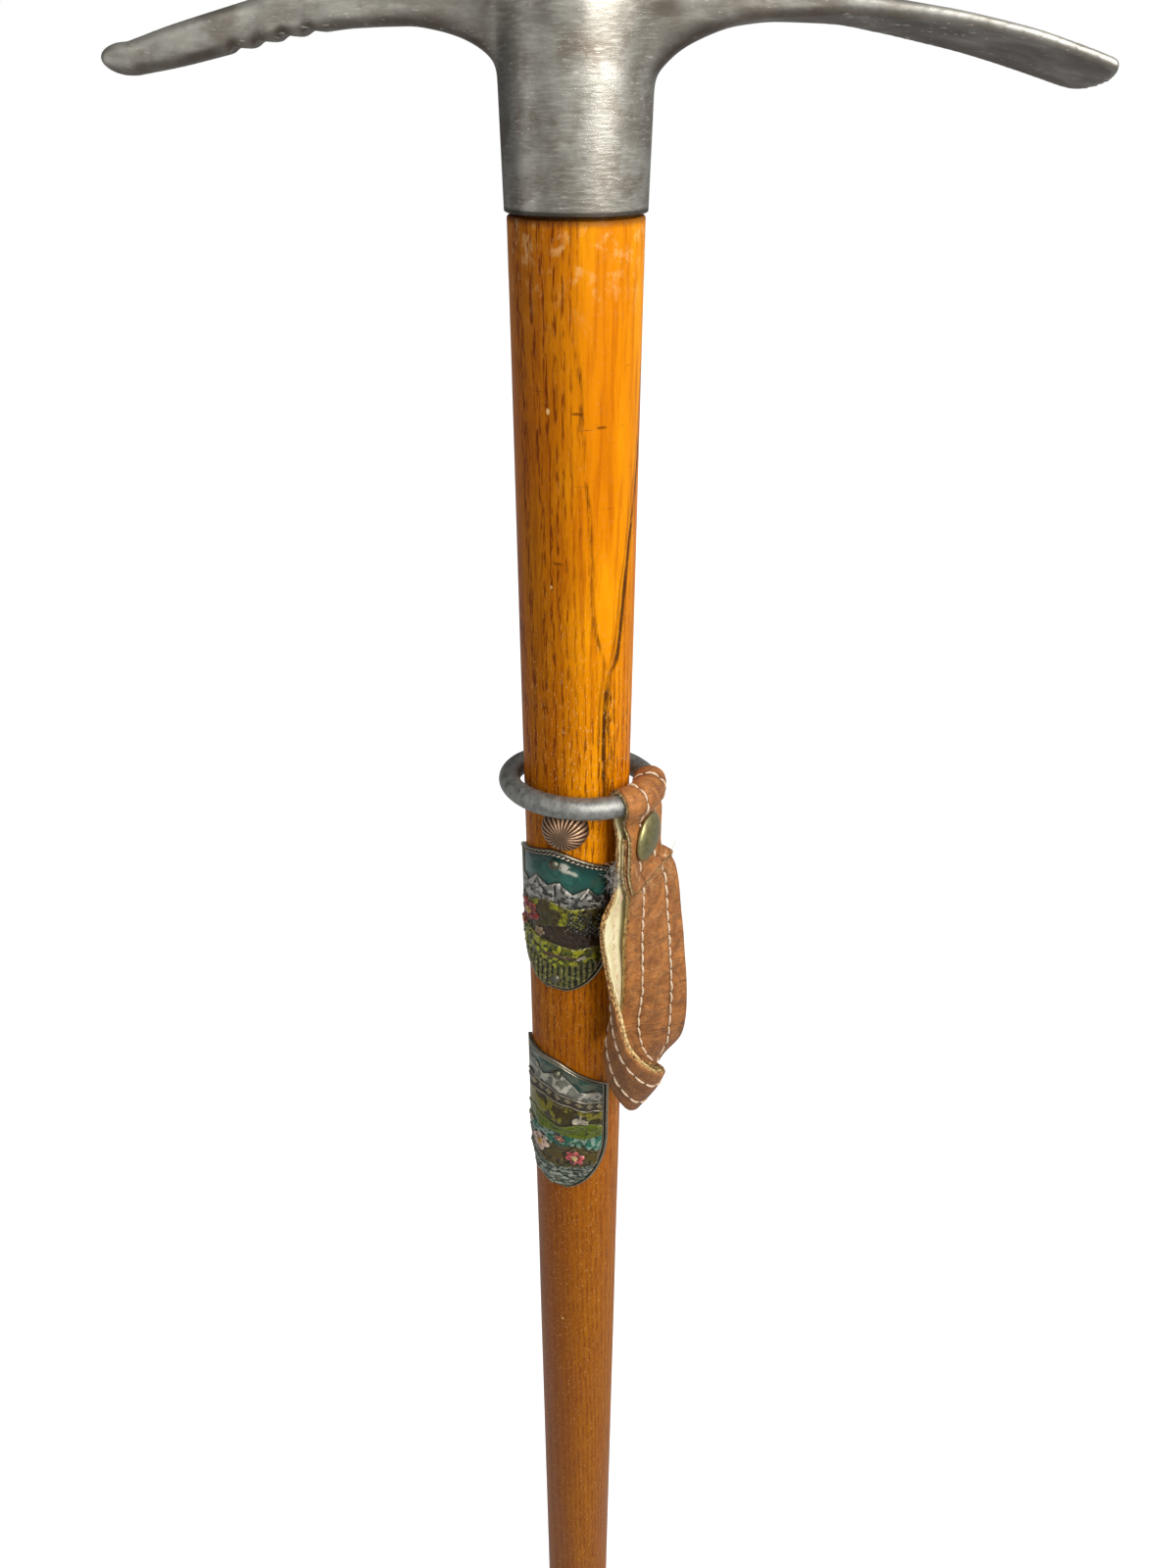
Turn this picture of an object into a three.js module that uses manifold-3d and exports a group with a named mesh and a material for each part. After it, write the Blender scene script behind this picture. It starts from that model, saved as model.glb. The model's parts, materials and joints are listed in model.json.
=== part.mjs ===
// A hiking pick: a walking stick with a cast aluminium pick-and-adze head, a varnished ash shaft,
// two souvenir badges, and a stitched leather wrist strap that hangs from a loose steel ring.
// Millimetres. +Z runs up the shaft and +X along the adze.
// The origin is the middle of the head, on the shaft's axis.
// Round the shaft, an azimuth of 0 is the front (-Y) and a positive one turns towards +X.

import * as THREE from "three";
import { mergeVertices } from "three/addons/utils/BufferGeometryUtils.js";
import Module from "manifold-3d";

const wasm = await Module();
wasm.setup();

// Clearances
const FIT = 0.3; // between pieces that touch or seat on each other
const SHOULDER_GAP = 0.6; // dark line between the socket's mouth and the shaft's shoulder

// Overall
const OVERALL_LENGTH = 880;
const HEAD_TOP = 6;
const FRONT_TURN = 5; // degrees that the badges, nail and strap stand round from square with the head

// Shaft
const SHAFT_TOP_R = 14.0; // under the socket
const SHAFT_END_R = 11.5; // at the ferrule
const TENON_R = 12.2;
const TENON_LENGTH = 29;

// Socket of the head
const SOCKET_MOUTH_Z = -39;
const SOCKET_MOUTH_R = 14.6;
const SOCKET_R = 15.1; // widest, just under the arms
const SOCKET_WIDEST_Z = -17;
const DOME_START_Z = -5;

// Pick arm, from the axis outwards: reach, top, underside, half thickness
const PICK_STATIONS = [
  [8, 5.8, -24, 12.4],
  [14.2, 5.3, -20, 10.2],
  [15.6, 5.1, -15.6, 9.4],
  [16.8, 4.9, -13.2, 8.6],
  [18.8, 4.6, -11.2, 7.6],
  [22, 4.2, -9.6, 6.7],
  [27, 3.4, -8.4, 5.8],
  [32, 2.5, -7.8, 5.3],
  [42, 0.7, -8.1, 4.7],
  [54, -1.9, -9.7, 4.3],
  [66, -4.8, -12.1, 4.0],
  [78, -7.8, -14.6, 3.7],
  [87, -10.4, -16.1, 3.3],
];
const PICK_REACH = 93;
const PICK_TIP_Z = -13.2;
const PICK_CHAMFER = 1.3;

// Grip teeth under the pick
const TOOTH_COUNT = 4;
const TOOTH_PITCH = 5;
const TOOTH_FIRST_REACH = 51;
const TOOTH_DEPTH = 0.9;

// Adze arm, from the axis outwards: reach, top, underside, half width, edge thickness, twist in degrees
const ADZE_STATIONS = [
  [8, 5.8, -26, 12.6, 28, 0],
  [14.6, 5.2, -21, 10.4, 22, 0],
  [16.2, 5.0, -16.8, 9.4, 17.6, 0],
  [17.6, 4.8, -14, 8.7, 14.8, 0],
  [20, 4.5, -11.6, 7.8, 12.4, 0],
  [24, 4.0, -9.5, 7.1, 10.6, 0],
  [30, 3.0, -7.6, 6.8, 8.6, 0.5],
  [38, 1.4, -6.8, 7.2, 6.0, 1.5],
  [47, -0.9, -6.8, 8.3, 4.0, 3.5],
  [57, -3.6, -7.7, 9.8, 2.9, 6],
  [68, -6.3, -9.2, 11.5, 2.2, 8],
  [80, -9.2, -11.7, 13.1, 2.0, 8],
  [90, -12.2, -14.5, 14.3, 2.0, 7],
  [100, -15.6, -17.6, 15.2, 1.8, 6],
];
const ADZE_REACH = 98;
const ADZE_EDGE_RADIUS = 60; // of the curved cutting edge, seen from above
const ADZE_FRONT_CORNER_R = 1.5;
const ADZE_BACK_CORNER_R = 5;

// Cross pin that holds the head, from the back
const HEAD_PIN_R = 1.6;
const HEAD_PIN_LENGTH = 22;
const HEAD_PIN_Z = -27;

// Loose ring and the nail it rests on
const RING_R = 18.1; // to the wire's centre
const RING_WIRE_R = 2.8;
const RING_Z = -171.9;
const RING_TILT = 7.6; // degrees
const RING_LOW_AZIMUTH = 161; // of its lowest point
const RING_SHIFT = 0.8; // pulled towards the strap
const STOP_NAIL_R = 6.1;
const STOP_NAIL_RISE = 5.2;
const STOP_NAIL_Z = RING_Z - 6.3;
const STOP_NAIL_AZIMUTH = -11.5;
const STOP_NAIL_FLUTES = 24;
const STOP_NAIL_SHANK_R = 1.1;
const STOP_NAIL_SHANK_LENGTH = 9;

// Badges
const BADGE_SHEET = 0.8;
const BADGE_RIM = 1.2; // rise of the rim over the shaft side of the sheet
const BADGE_RIM_WIDTH = 1.6;
const BADGE_AZIMUTH = -23;
const BADGE_NAIL_R = 1.5;
const BADGE_NAIL_RISE = 0.9;
const BADGE_NAIL_SHANK_R = 0.6;
const BADGE_NAIL_SHANK_LENGTH = 6;
const UPPER_BADGE = { top: -185.4, height: 46.1, width: 31, arch: 7, lean: 0.5, nailInset: 4.2 };
const LOWER_BADGE = { top: -259, height: 52, width: 30, arch: 6, lean: 5.5, nailInset: 4.4 };

// Ferrule and spike
const FERRULE_LENGTH = 42;
const FERRULE_WALL = 1.0;
const FERRULE_END_R = 9.4;
const FERRULE_FLOOR = 1.4;
const FERRULE_PIN_R = 0.9;
const FERRULE_PIN_LENGTH = 7;
const SPIKE_LENGTH = 24; // below the ferrule
const SPIKE_R = 4.2;
const SPIKE_FLANGE_R = 6.2;
const SPIKE_FLANGE = 1.8;
const SPIKE_TIP_R = 1.5;
const SPIKE_TANG_R = 2.6;
const SPIKE_TANG_LENGTH = 30;

// Leather strap
const STRAP_WIDTH = 20;
const STRAP_AZIMUTH = 65; // of the fold over the ring
const FOLD_THICKNESS = 1.4; // pressed by the snap
const OUTER_PLY = 1.0;
const LINING_PLY = 0.6;
const LOOP_STEPS = 76;
const SNAP_DROP = 11; // below the ring
const SNAP_SIDE = -1.5; // towards the strap's front edge
const SNAP_R = 6.6;
const SNAP_RISE = 2.4;
const SNAP_POST_R = 1.6;
const FOLD_ARC = [188, -42]; // degrees round the wire where the strap touches and leaves it
const SOCKET_DISC_R = 4.8;
const SOCKET_DISC = 0.8;

// Worked out from the sizes above
const SNAP_Z = RING_Z - SNAP_DROP;
const TAIL_TOP_Z = SNAP_Z + 3;
const FOLD_END_Z = SNAP_Z - 8.7;
const LOOP_TOP_Z = FOLD_END_Z - 0.6;
const TIP_Z = HEAD_TOP - OVERALL_LENGTH;
const FERRULE_END_Z = TIP_Z + SPIKE_LENGTH;
const FERRULE_TOP_Z = FERRULE_END_Z + FERRULE_LENGTH;
const FERRULE_PIN_Z = FERRULE_TOP_Z - 9;
const SHAFT_SHOULDER_Z = SOCKET_MOUTH_Z - SHOULDER_GAP;
const TENON_TOP_Z = SOCKET_MOUTH_Z + TENON_LENGTH;

const STEPS_ROUND = 56;
const SMALLEST_EDGE = 0.01;
const radians = THREE.MathUtils.degToRad;

// Radius of the tapering shaft at a height.
function shaftRadius(z) {
  const t = (z - SHAFT_SHOULDER_Z) / (FERRULE_TOP_Z - SHAFT_SHOULDER_Z);
  return THREE.MathUtils.lerp(SHAFT_TOP_R, SHAFT_END_R, t);
}

// Solid for joining and cutting, from a closed geometry.
function solid(geometry) {
  const bare = new THREE.BufferGeometry();
  bare.setAttribute("position", geometry.getAttribute("position"));
  bare.setIndex(geometry.index);
  const merged = mergeVertices(bare, 1e-4);
  return new wasm.Manifold(
    new wasm.Mesh({
      numProp: 3,
      vertProperties: merged.attributes.position.array,
      triVerts: new Uint32Array(merged.index.array),
    }),
  );
}

// Geometry of a joined or cut solid.
function geometryOf(body) {
  const mesh = body.simplify(SMALLEST_EDGE).getMesh();
  const positions = new Float32Array(mesh.numVert * 3);
  for (let i = 0; i < mesh.numVert; i++) {
    positions.set(mesh.vertProperties.subarray(i * mesh.numProp, i * mesh.numProp + 3), i * 3);
  }
  const geometry = new THREE.BufferGeometry();
  geometry.setAttribute("position", new THREE.BufferAttribute(positions, 3));
  geometry.setIndex(new THREE.BufferAttribute(mesh.triVerts, 1));
  geometry.computeVertexNormals();
  return geometry;
}

// Turned piece on the Z axis, from [radius, height] points that run from the bottom up round the outside.
function turned(profile, steps = STEPS_ROUND) {
  const points = profile.map(([r, z]) => new THREE.Vector2(r, z));
  const geometry = new THREE.LatheGeometry(points, steps);
  geometry.rotateX(Math.PI / 2);
  return geometry;
}

// Closed skin over a row of sections that all have the same number of points.
function loft(sections) {
  const count = sections[0].length;
  const positions = sections.flat().flatMap((p) => [p.x, p.y, p.z]);
  const index = [];
  for (let s = 0; s + 1 < sections.length; s++) {
    for (let i = 0; i < count; i++) {
      const a = s * count + i;
      const b = s * count + ((i + 1) % count);
      index.push(a, b, a + count, b, b + count, a + count);
    }
  }
  const last = (sections.length - 1) * count;
  for (let i = 1; i + 1 < count; i++) {
    index.push(0, i + 1, i);
    index.push(last, last + i, last + i + 1);
  }
  const geometry = new THREE.BufferGeometry();
  geometry.setAttribute("position", new THREE.Float32BufferAttribute(positions, 3));
  geometry.setIndex(index);
  return geometry;
}

// Round rod that points out of the shaft at an azimuth, between two distances from the axis.
function radialRod(radius, from, to, azimuth, z, steps = 14) {
  const rod = new THREE.CylinderGeometry(radius, radius, to - from, steps);
  rod.translate(0, -(from + to) / 2, 0);
  rod.rotateZ(radians(azimuth));
  rod.translate(0, 0, z);
  return rod;
}

// Places a piece made on the -Y side, looking outwards, at its azimuth and height.
function faceOut(geometry, azimuth, z) {
  geometry.rotateZ(radians(azimuth));
  geometry.translate(0, 0, z);
  return geometry;
}

// Section of the pick: a bar with chamfered corners.
function pickSection([reach, top, bottom, half]) {
  const c = Math.min(PICK_CHAMFER, half * 0.45, (top - bottom) * 0.3);
  const corners = [
    [half - c, bottom],
    [half, bottom + c],
    [half, top - c],
    [half - c, top],
    [c - half, top],
    [-half, top - c],
    [-half, bottom + c],
    [c - half, bottom],
  ];
  return corners.map(([y, z]) => new THREE.Vector3(-reach, y, z));
}

// Pick arm with its blunt rounded tip.
function pickArm() {
  const [reach, top, bottom, half] = PICK_STATIONS.at(-1);
  const sections = PICK_STATIONS.map(pickSection);
  for (const t of [0.45, 0.78, 0.95]) {
    const shrink = Math.sqrt(1 - t * t);
    const x = THREE.MathUtils.lerp(reach, PICK_REACH, t);
    const middle = THREE.MathUtils.lerp((top + bottom) / 2, PICK_TIP_Z, t);
    const rise = ((top - bottom) / 2) * shrink;
    sections.push(pickSection([x, middle + rise, middle - rise, half * (0.35 + 0.65 * shrink)]));
  }
  return loft(sections.reverse());
}

// Underside of the pick at a reach, for the teeth.
function pickUnderside(reach) {
  const next = PICK_STATIONS.findIndex(([r]) => r >= reach);
  const [r0, , z0] = PICK_STATIONS[next - 1];
  const [r1, , z1] = PICK_STATIONS[next];
  return THREE.MathUtils.lerp(z0, z1, (reach - r0) / (r1 - r0));
}

// Wedge that cuts one notch between two teeth.
function toothNotch(reach) {
  const z = pickUnderside(reach);
  const shape = new THREE.Shape();
  shape.moveTo(-reach - 1.1, z - 2);
  shape.lineTo(-reach + 2.6, z - 2);
  shape.lineTo(-reach + 2.6, z - 0.1);
  shape.lineTo(-reach + 0.4, z + TOOTH_DEPTH);
  shape.lineTo(-reach - 0.9, z + TOOTH_DEPTH * 0.3);
  shape.closePath();
  const depth = 14;
  const wedge = new THREE.ExtrudeGeometry(shape, { depth, bevelEnabled: false });
  wedge.rotateX(Math.PI / 2);
  wedge.translate(0, depth / 2, 0);
  return wedge;
}

// Section of the adze: flat below, crowned above, thin at both edges.
function adzeSection([reach, top, bottom, half, edge, twist]) {
  const rise = Math.min(edge, top - bottom);
  const c = Math.min(1.0, rise * 0.3);
  const shoulder = top - (top - bottom - rise) * 0.2;
  const corners = [
    [half - c, bottom],
    [half, bottom + c],
    [half, bottom + rise - c],
    [half - c, bottom + rise],
    [half * 0.45, shoulder],
    [0, top],
    [-half * 0.45, shoulder],
    [c - half, bottom + rise],
    [-half, bottom + rise - c],
    [-half, bottom + c],
    [c - half, bottom],
  ];
  const middle = (top + bottom) / 2;
  const axis = new THREE.Vector3(1, 0, 0);
  return corners.map(([y, z]) =>
    new THREE.Vector3(0, y, z - middle)
      .applyAxisAngle(axis, radians(-twist))
      .add(new THREE.Vector3(reach, 0, middle)),
  );
}

// Plan of the adze, whose cutting edge is an arc with rounded corners.
function adzePlan() {
  const half = ADZE_STATIONS.at(-1)[3];
  const centre = ADZE_REACH - ADZE_EDGE_RADIUS;
  const corner = (radius) => {
    const spread = Math.asin((half - radius * 0.55) / ADZE_EDGE_RADIUS);
    const x = centre + ADZE_EDGE_RADIUS * Math.cos(spread);
    return { radius, spread, x, y: ADZE_EDGE_RADIUS * Math.sin(spread) };
  };
  const front = corner(ADZE_FRONT_CORNER_R);
  const back = corner(ADZE_BACK_CORNER_R);
  const shape = new THREE.Shape();
  shape.moveTo(0, -half - 1);
  shape.lineTo(front.x - front.radius, -half - 1);
  shape.quadraticCurveTo(front.x - 0.2, -half, front.x, -front.y);
  shape.absarc(centre, 0, ADZE_EDGE_RADIUS, -front.spread, back.spread, false);
  shape.quadraticCurveTo(back.x - 0.6, half, back.x - back.radius, half + 1);
  shape.lineTo(0, half + 1);
  shape.closePath();
  const depth = 70;
  const prism = new THREE.ExtrudeGeometry(shape, { depth, bevelEnabled: false, curveSegments: 8 });
  prism.translate(0, 0, -depth / 2);
  return prism;
}

// Cast head: socket, pick and adze in one piece, bored for the shaft.
function headGeometry() {
  const dome = [];
  for (let i = 0; i <= 6; i++) {
    const t = (i / 6) * (Math.PI / 2);
    const r = i === 6 ? 0 : SOCKET_R * Math.cos(t);
    dome.push([r, DOME_START_Z + (HEAD_TOP - DOME_START_Z) * Math.sin(t)]);
  }
  const lip = 0.4;
  const outside = turned([
    [0, SOCKET_MOUTH_Z],
    [SOCKET_MOUTH_R - lip, SOCKET_MOUTH_Z],
    [SOCKET_MOUTH_R, SOCKET_MOUTH_Z + lip],
    [SOCKET_R, SOCKET_WIDEST_Z],
    ...dome,
  ]);
  const boreR = TENON_R + FIT;
  const bore = turned([
    [0, SOCKET_MOUTH_Z - 1],
    [boreR, SOCKET_MOUTH_Z - 1],
    [boreR, TENON_TOP_Z + FIT - 1.5],
    [boreR - 1.5, TENON_TOP_Z + FIT],
    [0, TENON_TOP_Z + FIT],
  ]);
  const pinHole = radialRod(HEAD_PIN_R + FIT, -SOCKET_R - 2, -TENON_R + 2, 0, HEAD_PIN_Z);
  const adze = solid(loft(ADZE_STATIONS.map(adzeSection))).intersect(solid(adzePlan()));
  let head = solid(outside).add(solid(pickArm())).add(adze);
  head = head.subtract(solid(bore)).subtract(solid(pinHole));
  for (let i = 0; i < TOOTH_COUNT; i++) {
    head = head.subtract(solid(toothNotch(TOOTH_FIRST_REACH + i * TOOTH_PITCH)));
  }
  return geometryOf(head);
}

// Pin through the back of the socket into the tenon.
function headPinGeometry() {
  const outer = SOCKET_R - 0.2;
  return radialRod(HEAD_PIN_R, -outer, HEAD_PIN_LENGTH - outer, 0, HEAD_PIN_Z);
}

// Holes that the nails' shanks leave in the shaft, in the frame of the front.
function shankHole(radius, length, azimuth, z) {
  const surface = shaftRadius(z);
  return radialRod(radius + FIT, surface - length - FIT, surface + 2, azimuth, z, 10);
}

// Ash shaft with a tenon at each end, drilled for its nails, pins and the spike's tang.
function shaftGeometry() {
  const endTenonTopR = SHAFT_END_R - FERRULE_WALL - FIT;
  const endTenonR = FERRULE_END_R - FERRULE_WALL - FIT;
  const endZ = FERRULE_END_Z + FERRULE_FLOOR + FIT;
  const tangHoleTop = FERRULE_END_Z + SPIKE_TANG_LENGTH + FIT;
  let shaft = solid(
    turned([
      [0, tangHoleTop],
      [SPIKE_TANG_R + FIT, tangHoleTop],
      [SPIKE_TANG_R + FIT, endZ],
      [endTenonR, endZ],
      [endTenonTopR, FERRULE_TOP_Z + FIT],
      [SHAFT_END_R, FERRULE_TOP_Z + FIT],
      [shaftRadius(-420), -420],
      [SHAFT_TOP_R, SHAFT_SHOULDER_Z],
      [TENON_R, SHAFT_SHOULDER_Z],
      [TENON_R, TENON_TOP_Z - 1.5],
      [TENON_R - 1.5, TENON_TOP_Z],
      [0, TENON_TOP_Z],
    ]),
  );
  const headPinEnd = HEAD_PIN_LENGTH - SOCKET_R + FIT;
  const ferrulePinEnd = FERRULE_PIN_LENGTH - SHAFT_END_R + FIT;
  const nailAzimuth = STOP_NAIL_AZIMUTH + FRONT_TURN;
  const holes = [
    radialRod(HEAD_PIN_R + FIT, -TENON_R - 2, headPinEnd, 0, HEAD_PIN_Z),
    radialRod(FERRULE_PIN_R + FIT, -SHAFT_END_R - 2, ferrulePinEnd, 0, FERRULE_PIN_Z, 10),
    shankHole(STOP_NAIL_SHANK_R, STOP_NAIL_SHANK_LENGTH, nailAzimuth, STOP_NAIL_Z),
  ];
  for (const badge of [UPPER_BADGE, LOWER_BADGE]) {
    for (const z of badgeNailHeights(badge)) {
      const azimuth = BADGE_AZIMUTH + FRONT_TURN;
      holes.push(shankHole(BADGE_NAIL_SHANK_R, BADGE_NAIL_SHANK_LENGTH, azimuth, z));
    }
  }
  for (const hole of holes) shaft = shaft.subtract(solid(hole));
  return geometryOf(shaft);
}

// Outside radius of the tapering ferrule at a height.
function ferruleRadius(z) {
  const t = (z - FERRULE_END_Z) / FERRULE_LENGTH;
  return THREE.MathUtils.lerp(FERRULE_END_R, SHAFT_END_R + 0.2, t);
}

// Steel ferrule: a tapering cup with a hole in its floor for the spike's tang.
function ferruleGeometry() {
  const topR = ferruleRadius(FERRULE_TOP_Z);
  const holeR = SPIKE_TANG_R + FIT;
  const floorZ = FERRULE_END_Z + FERRULE_FLOOR;
  const innerEndR = FERRULE_END_R - FERRULE_WALL;
  const innerTopR = SHAFT_END_R - FERRULE_WALL;
  const cup = solid(
    turned([
      [holeR, FERRULE_END_Z],
      [FERRULE_END_R - 1, FERRULE_END_Z],
      [FERRULE_END_R, FERRULE_END_Z + 1],
      [topR, FERRULE_TOP_Z - 0.4],
      [topR - 0.4, FERRULE_TOP_Z],
      [innerTopR, FERRULE_TOP_Z],
      [innerEndR, floorZ],
      [holeR, floorZ],
      [holeR, FERRULE_END_Z],
    ]),
  );
  const holeEnd = 4 - SHAFT_END_R;
  const hole = radialRod(FERRULE_PIN_R + FIT, -SHAFT_END_R - 3, holeEnd, 0, FERRULE_PIN_Z, 10);
  return geometryOf(cup.subtract(solid(hole)));
}

// Small headed pin at the back of the ferrule.
function ferrulePinGeometry() {
  const face = ferruleRadius(FERRULE_PIN_Z) + FIT;
  const end = FERRULE_PIN_LENGTH - 1 - face;
  const pin = radialRod(FERRULE_PIN_R, -face - 0.4, end, 0, FERRULE_PIN_Z, 10);
  const cap = radialRod(FERRULE_PIN_R * 2, -face - 0.8, -face, 0, FERRULE_PIN_Z, 14);
  return geometryOf(solid(pin).add(solid(cap)));
}

// Steel spike with its flange under the ferrule and its tang in the shaft.
function spikeGeometry() {
  const under = FERRULE_END_Z - FIT;
  return turned(
    [
      [0, TIP_Z],
      [SPIKE_TIP_R, TIP_Z],
      [SPIKE_R, under - SPIKE_FLANGE - 7],
      [SPIKE_R, under - SPIKE_FLANGE],
      [SPIKE_FLANGE_R, under - SPIKE_FLANGE],
      [SPIKE_FLANGE_R, under],
      [SPIKE_TANG_R, under],
      [SPIKE_TANG_R, FERRULE_END_Z + SPIKE_TANG_LENGTH - 3],
      [0.8, FERRULE_END_Z + SPIKE_TANG_LENGTH],
      [0, FERRULE_END_Z + SPIKE_TANG_LENGTH],
    ],
    32,
  );
}

// Loose steel ring, before it is tilted and shifted.
function ringGeometry() {
  return new THREE.TorusGeometry(RING_R, RING_WIRE_R, 16, STEPS_ROUND);
}

// Domed nail whose flutes run out from its crown, with its shank, made facing -Y.
function stopNailGeometry() {
  const rings = 7;
  const around = STOP_NAIL_FLUTES * 2;
  const positions = [0, -STOP_NAIL_RISE, 0];
  for (let i = 1; i <= rings; i++) {
    const t = (i / rings) * (Math.PI / 2);
    const depth = 0.28 * Math.sin(t * 1.6);
    for (let j = 0; j < around; j++) {
      const groove = j % 2 ? depth : 0;
      const a = (j / around) * Math.PI * 2;
      const r = STOP_NAIL_R * Math.sin(t) - groove * 0.5;
      const out = STOP_NAIL_RISE * Math.cos(t) - (i < rings ? groove : 0);
      positions.push(r * Math.cos(a), -Math.max(out, 0), r * Math.sin(a));
    }
  }
  positions.push(0, 0, 0);
  const centre = 1 + rings * around;
  const index = [];
  for (let j = 0; j < around; j++) {
    const k = (j + 1) % around;
    index.push(0, 1 + j, 1 + k);
    for (let i = 0; i + 1 < rings; i++) {
      const a = 1 + i * around + j;
      const b = 1 + i * around + k;
      index.push(a, a + around, b, b, a + around, b + around);
    }
    const rim = 1 + (rings - 1) * around;
    index.push(centre, rim + k, rim + j);
  }
  const cap = new THREE.BufferGeometry();
  cap.setAttribute("position", new THREE.Float32BufferAttribute(positions, 3));
  cap.setIndex(index);
  const shank = radialRod(STOP_NAIL_SHANK_R, -STOP_NAIL_SHANK_LENGTH, 1, 0, 0, 10);
  const nail = geometryOf(solid(cap).add(solid(shank)));
  nail.translate(0, -shaftRadius(STOP_NAIL_Z) - FIT, 0);
  return faceOut(nail, STOP_NAIL_AZIMUTH, STOP_NAIL_Z);
}

// Points of a grid, row by row, from a function of two shares.
function gridOf(point, rows, columns) {
  const grid = [];
  for (let i = 0; i <= rows; i++) {
    for (let j = 0; j <= columns; j++) grid.push(point(i / rows, j / columns));
  }
  return grid;
}

// Closed skin between two grids of points, the second on the outside.
function sheetBetween(inner, outer, rows, columns) {
  const across = columns + 1;
  const offset = inner.length;
  const positions = [...inner, ...outer].flatMap((p) => [p.x, p.y, p.z]);
  const index = [];
  const quad = (a, b, c, d) => index.push(a, b, c, a, c, d);
  for (let i = 0; i < rows; i++) {
    for (let j = 0; j < columns; j++) {
      const a = i * across + j;
      quad(a, a + across, a + across + 1, a + 1);
      quad(offset + a, offset + a + 1, offset + a + across + 1, offset + a + across);
    }
    const left = i * across;
    const right = left + columns;
    quad(left, offset + left, offset + left + across, left + across);
    quad(right, right + across, offset + right + across, offset + right);
  }
  for (let j = 0; j < columns; j++) {
    const top = rows * across + j;
    quad(j, j + 1, offset + j + 1, offset + j);
    quad(top, offset + top, offset + top + 1, top + 1);
  }
  const geometry = new THREE.BufferGeometry();
  geometry.setAttribute("position", new THREE.Float32BufferAttribute(positions, 3));
  geometry.setIndex(index);
  return geometry;
}

// Closed sheet over a grid of points, between two depths along its normal.
function sheetSolid(point, rows, columns, from, to) {
  const grid = gridOf(point, rows, columns);
  const across = columns + 1;
  const clamp = THREE.MathUtils.clamp;
  const at = (i, j) => grid[clamp(i, 0, rows) * across + clamp(j, 0, columns)];
  const normals = grid.map((p, n) => {
    const i = Math.floor(n / across);
    const j = n % across;
    const along = at(i + 1, j).clone().sub(at(i - 1, j));
    const over = at(i, j + 1).clone().sub(at(i, j - 1));
    return over.cross(along).normalize();
  });
  const side = (depth) => grid.map((p, n) => p.clone().addScaledVector(normals[n], depth));
  return sheetBetween(side(from), side(to), rows, columns);
}

// Heights of a badge's two nails.
function badgeNailHeights(badge) {
  return [badge.top - badge.nailInset, badge.top - badge.height + badge.nailInset];
}

// Half width of a shield at a share of its height, 0 at the foot and 1 at the top.
function shieldHalfWidth(badge, share) {
  const round = 0.42;
  const full = badge.width / 2;
  if (share >= round) return full;
  const t = 1 - share / round;
  return full * Math.sqrt(Math.max(1 - t * t, 0.03));
}

// Stamped badge: a shield bent round the shaft, with a raised rim, an arched top and a slight lean.
function badgeGeometry(badge) {
  const skin = (rise) => (share, column) => {
    const side = column * 2 - 1;
    const half = shieldHalfWidth(badge, share);
    const along = side * half;
    const arch = badge.arch * (Math.hypot(side, 0.15) - 0.15);
    const drop = (arch + badge.lean * side) * share * share;
    const z = badge.top - badge.height * (1 - share) - drop;
    const toSide = half - Math.abs(along);
    const toEnd = badge.height * Math.min(share + 0.014, 1 - share);
    const radius = shaftRadius(z) + FIT + rise(Math.min(toSide, toEnd) < BADGE_RIM_WIDTH);
    const a = along / (shaftRadius(z) + FIT);
    return new THREE.Vector3(radius * Math.sin(a), -radius * Math.cos(a), z);
  };
  const front = skin((onRim) => (onRim ? BADGE_RIM : BADGE_SHEET));
  const back = skin(() => 0);
  let plate = solid(sheetBetween(gridOf(back, 16, 18), gridOf(front, 16, 18), 16, 18));
  for (const z of badgeNailHeights(badge)) {
    const r = shaftRadius(z);
    const hole = radialRod(BADGE_NAIL_SHANK_R + FIT, r - 1, r + 4, 0, z, 10);
    plate = plate.subtract(solid(hole));
  }
  const made = geometryOf(plate);
  made.rotateZ(radians(BADGE_AZIMUTH));
  return made;
}

// Round-headed brass nail through a badge.
function badgeNailGeometry(z) {
  const seat = shaftRadius(z) + FIT + BADGE_RIM + FIT;
  const dome = [];
  for (let i = 0; i <= 4; i++) {
    const t = (i / 4) * (Math.PI / 2);
    dome.push([i === 4 ? 0 : BADGE_NAIL_R * Math.cos(t), BADGE_NAIL_RISE * Math.sin(t)]);
  }
  const cap = new THREE.LatheGeometry([[0, 0], ...dome].map(([r, y]) => new THREE.Vector2(r, y)), 16);
  cap.rotateX(Math.PI);
  cap.translate(0, -seat, 0);
  const shankEnd = seat - BADGE_RIM - BADGE_NAIL_SHANK_LENGTH;
  const shank = radialRod(BADGE_NAIL_SHANK_R, shankEnd, seat + 0.3, 0, 0, 10);
  return faceOut(geometryOf(solid(cap).add(solid(shank))), BADGE_AZIMUTH, z);
}

// Frame of the strap's fold: out is away from the shaft, across runs along the fold.
const FOLD_OUT = new THREE.Vector3(
  Math.sin(radians(STRAP_AZIMUTH)),
  -Math.cos(radians(STRAP_AZIMUTH)),
  0,
);
const RING_CENTRE = FOLD_OUT.clone().multiplyScalar(RING_SHIFT).setZ(RING_Z);
const FOLD_ACROSS = new THREE.Vector3(-FOLD_OUT.y, FOLD_OUT.x, 0);
const RING_AXIS = new THREE.Vector3(
  Math.sin(radians(RING_TILT)) * Math.sin(radians(RING_LOW_AZIMUTH)),
  -Math.sin(radians(RING_TILT)) * Math.cos(radians(RING_LOW_AZIMUTH)),
  Math.cos(radians(RING_TILT)),
);

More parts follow.
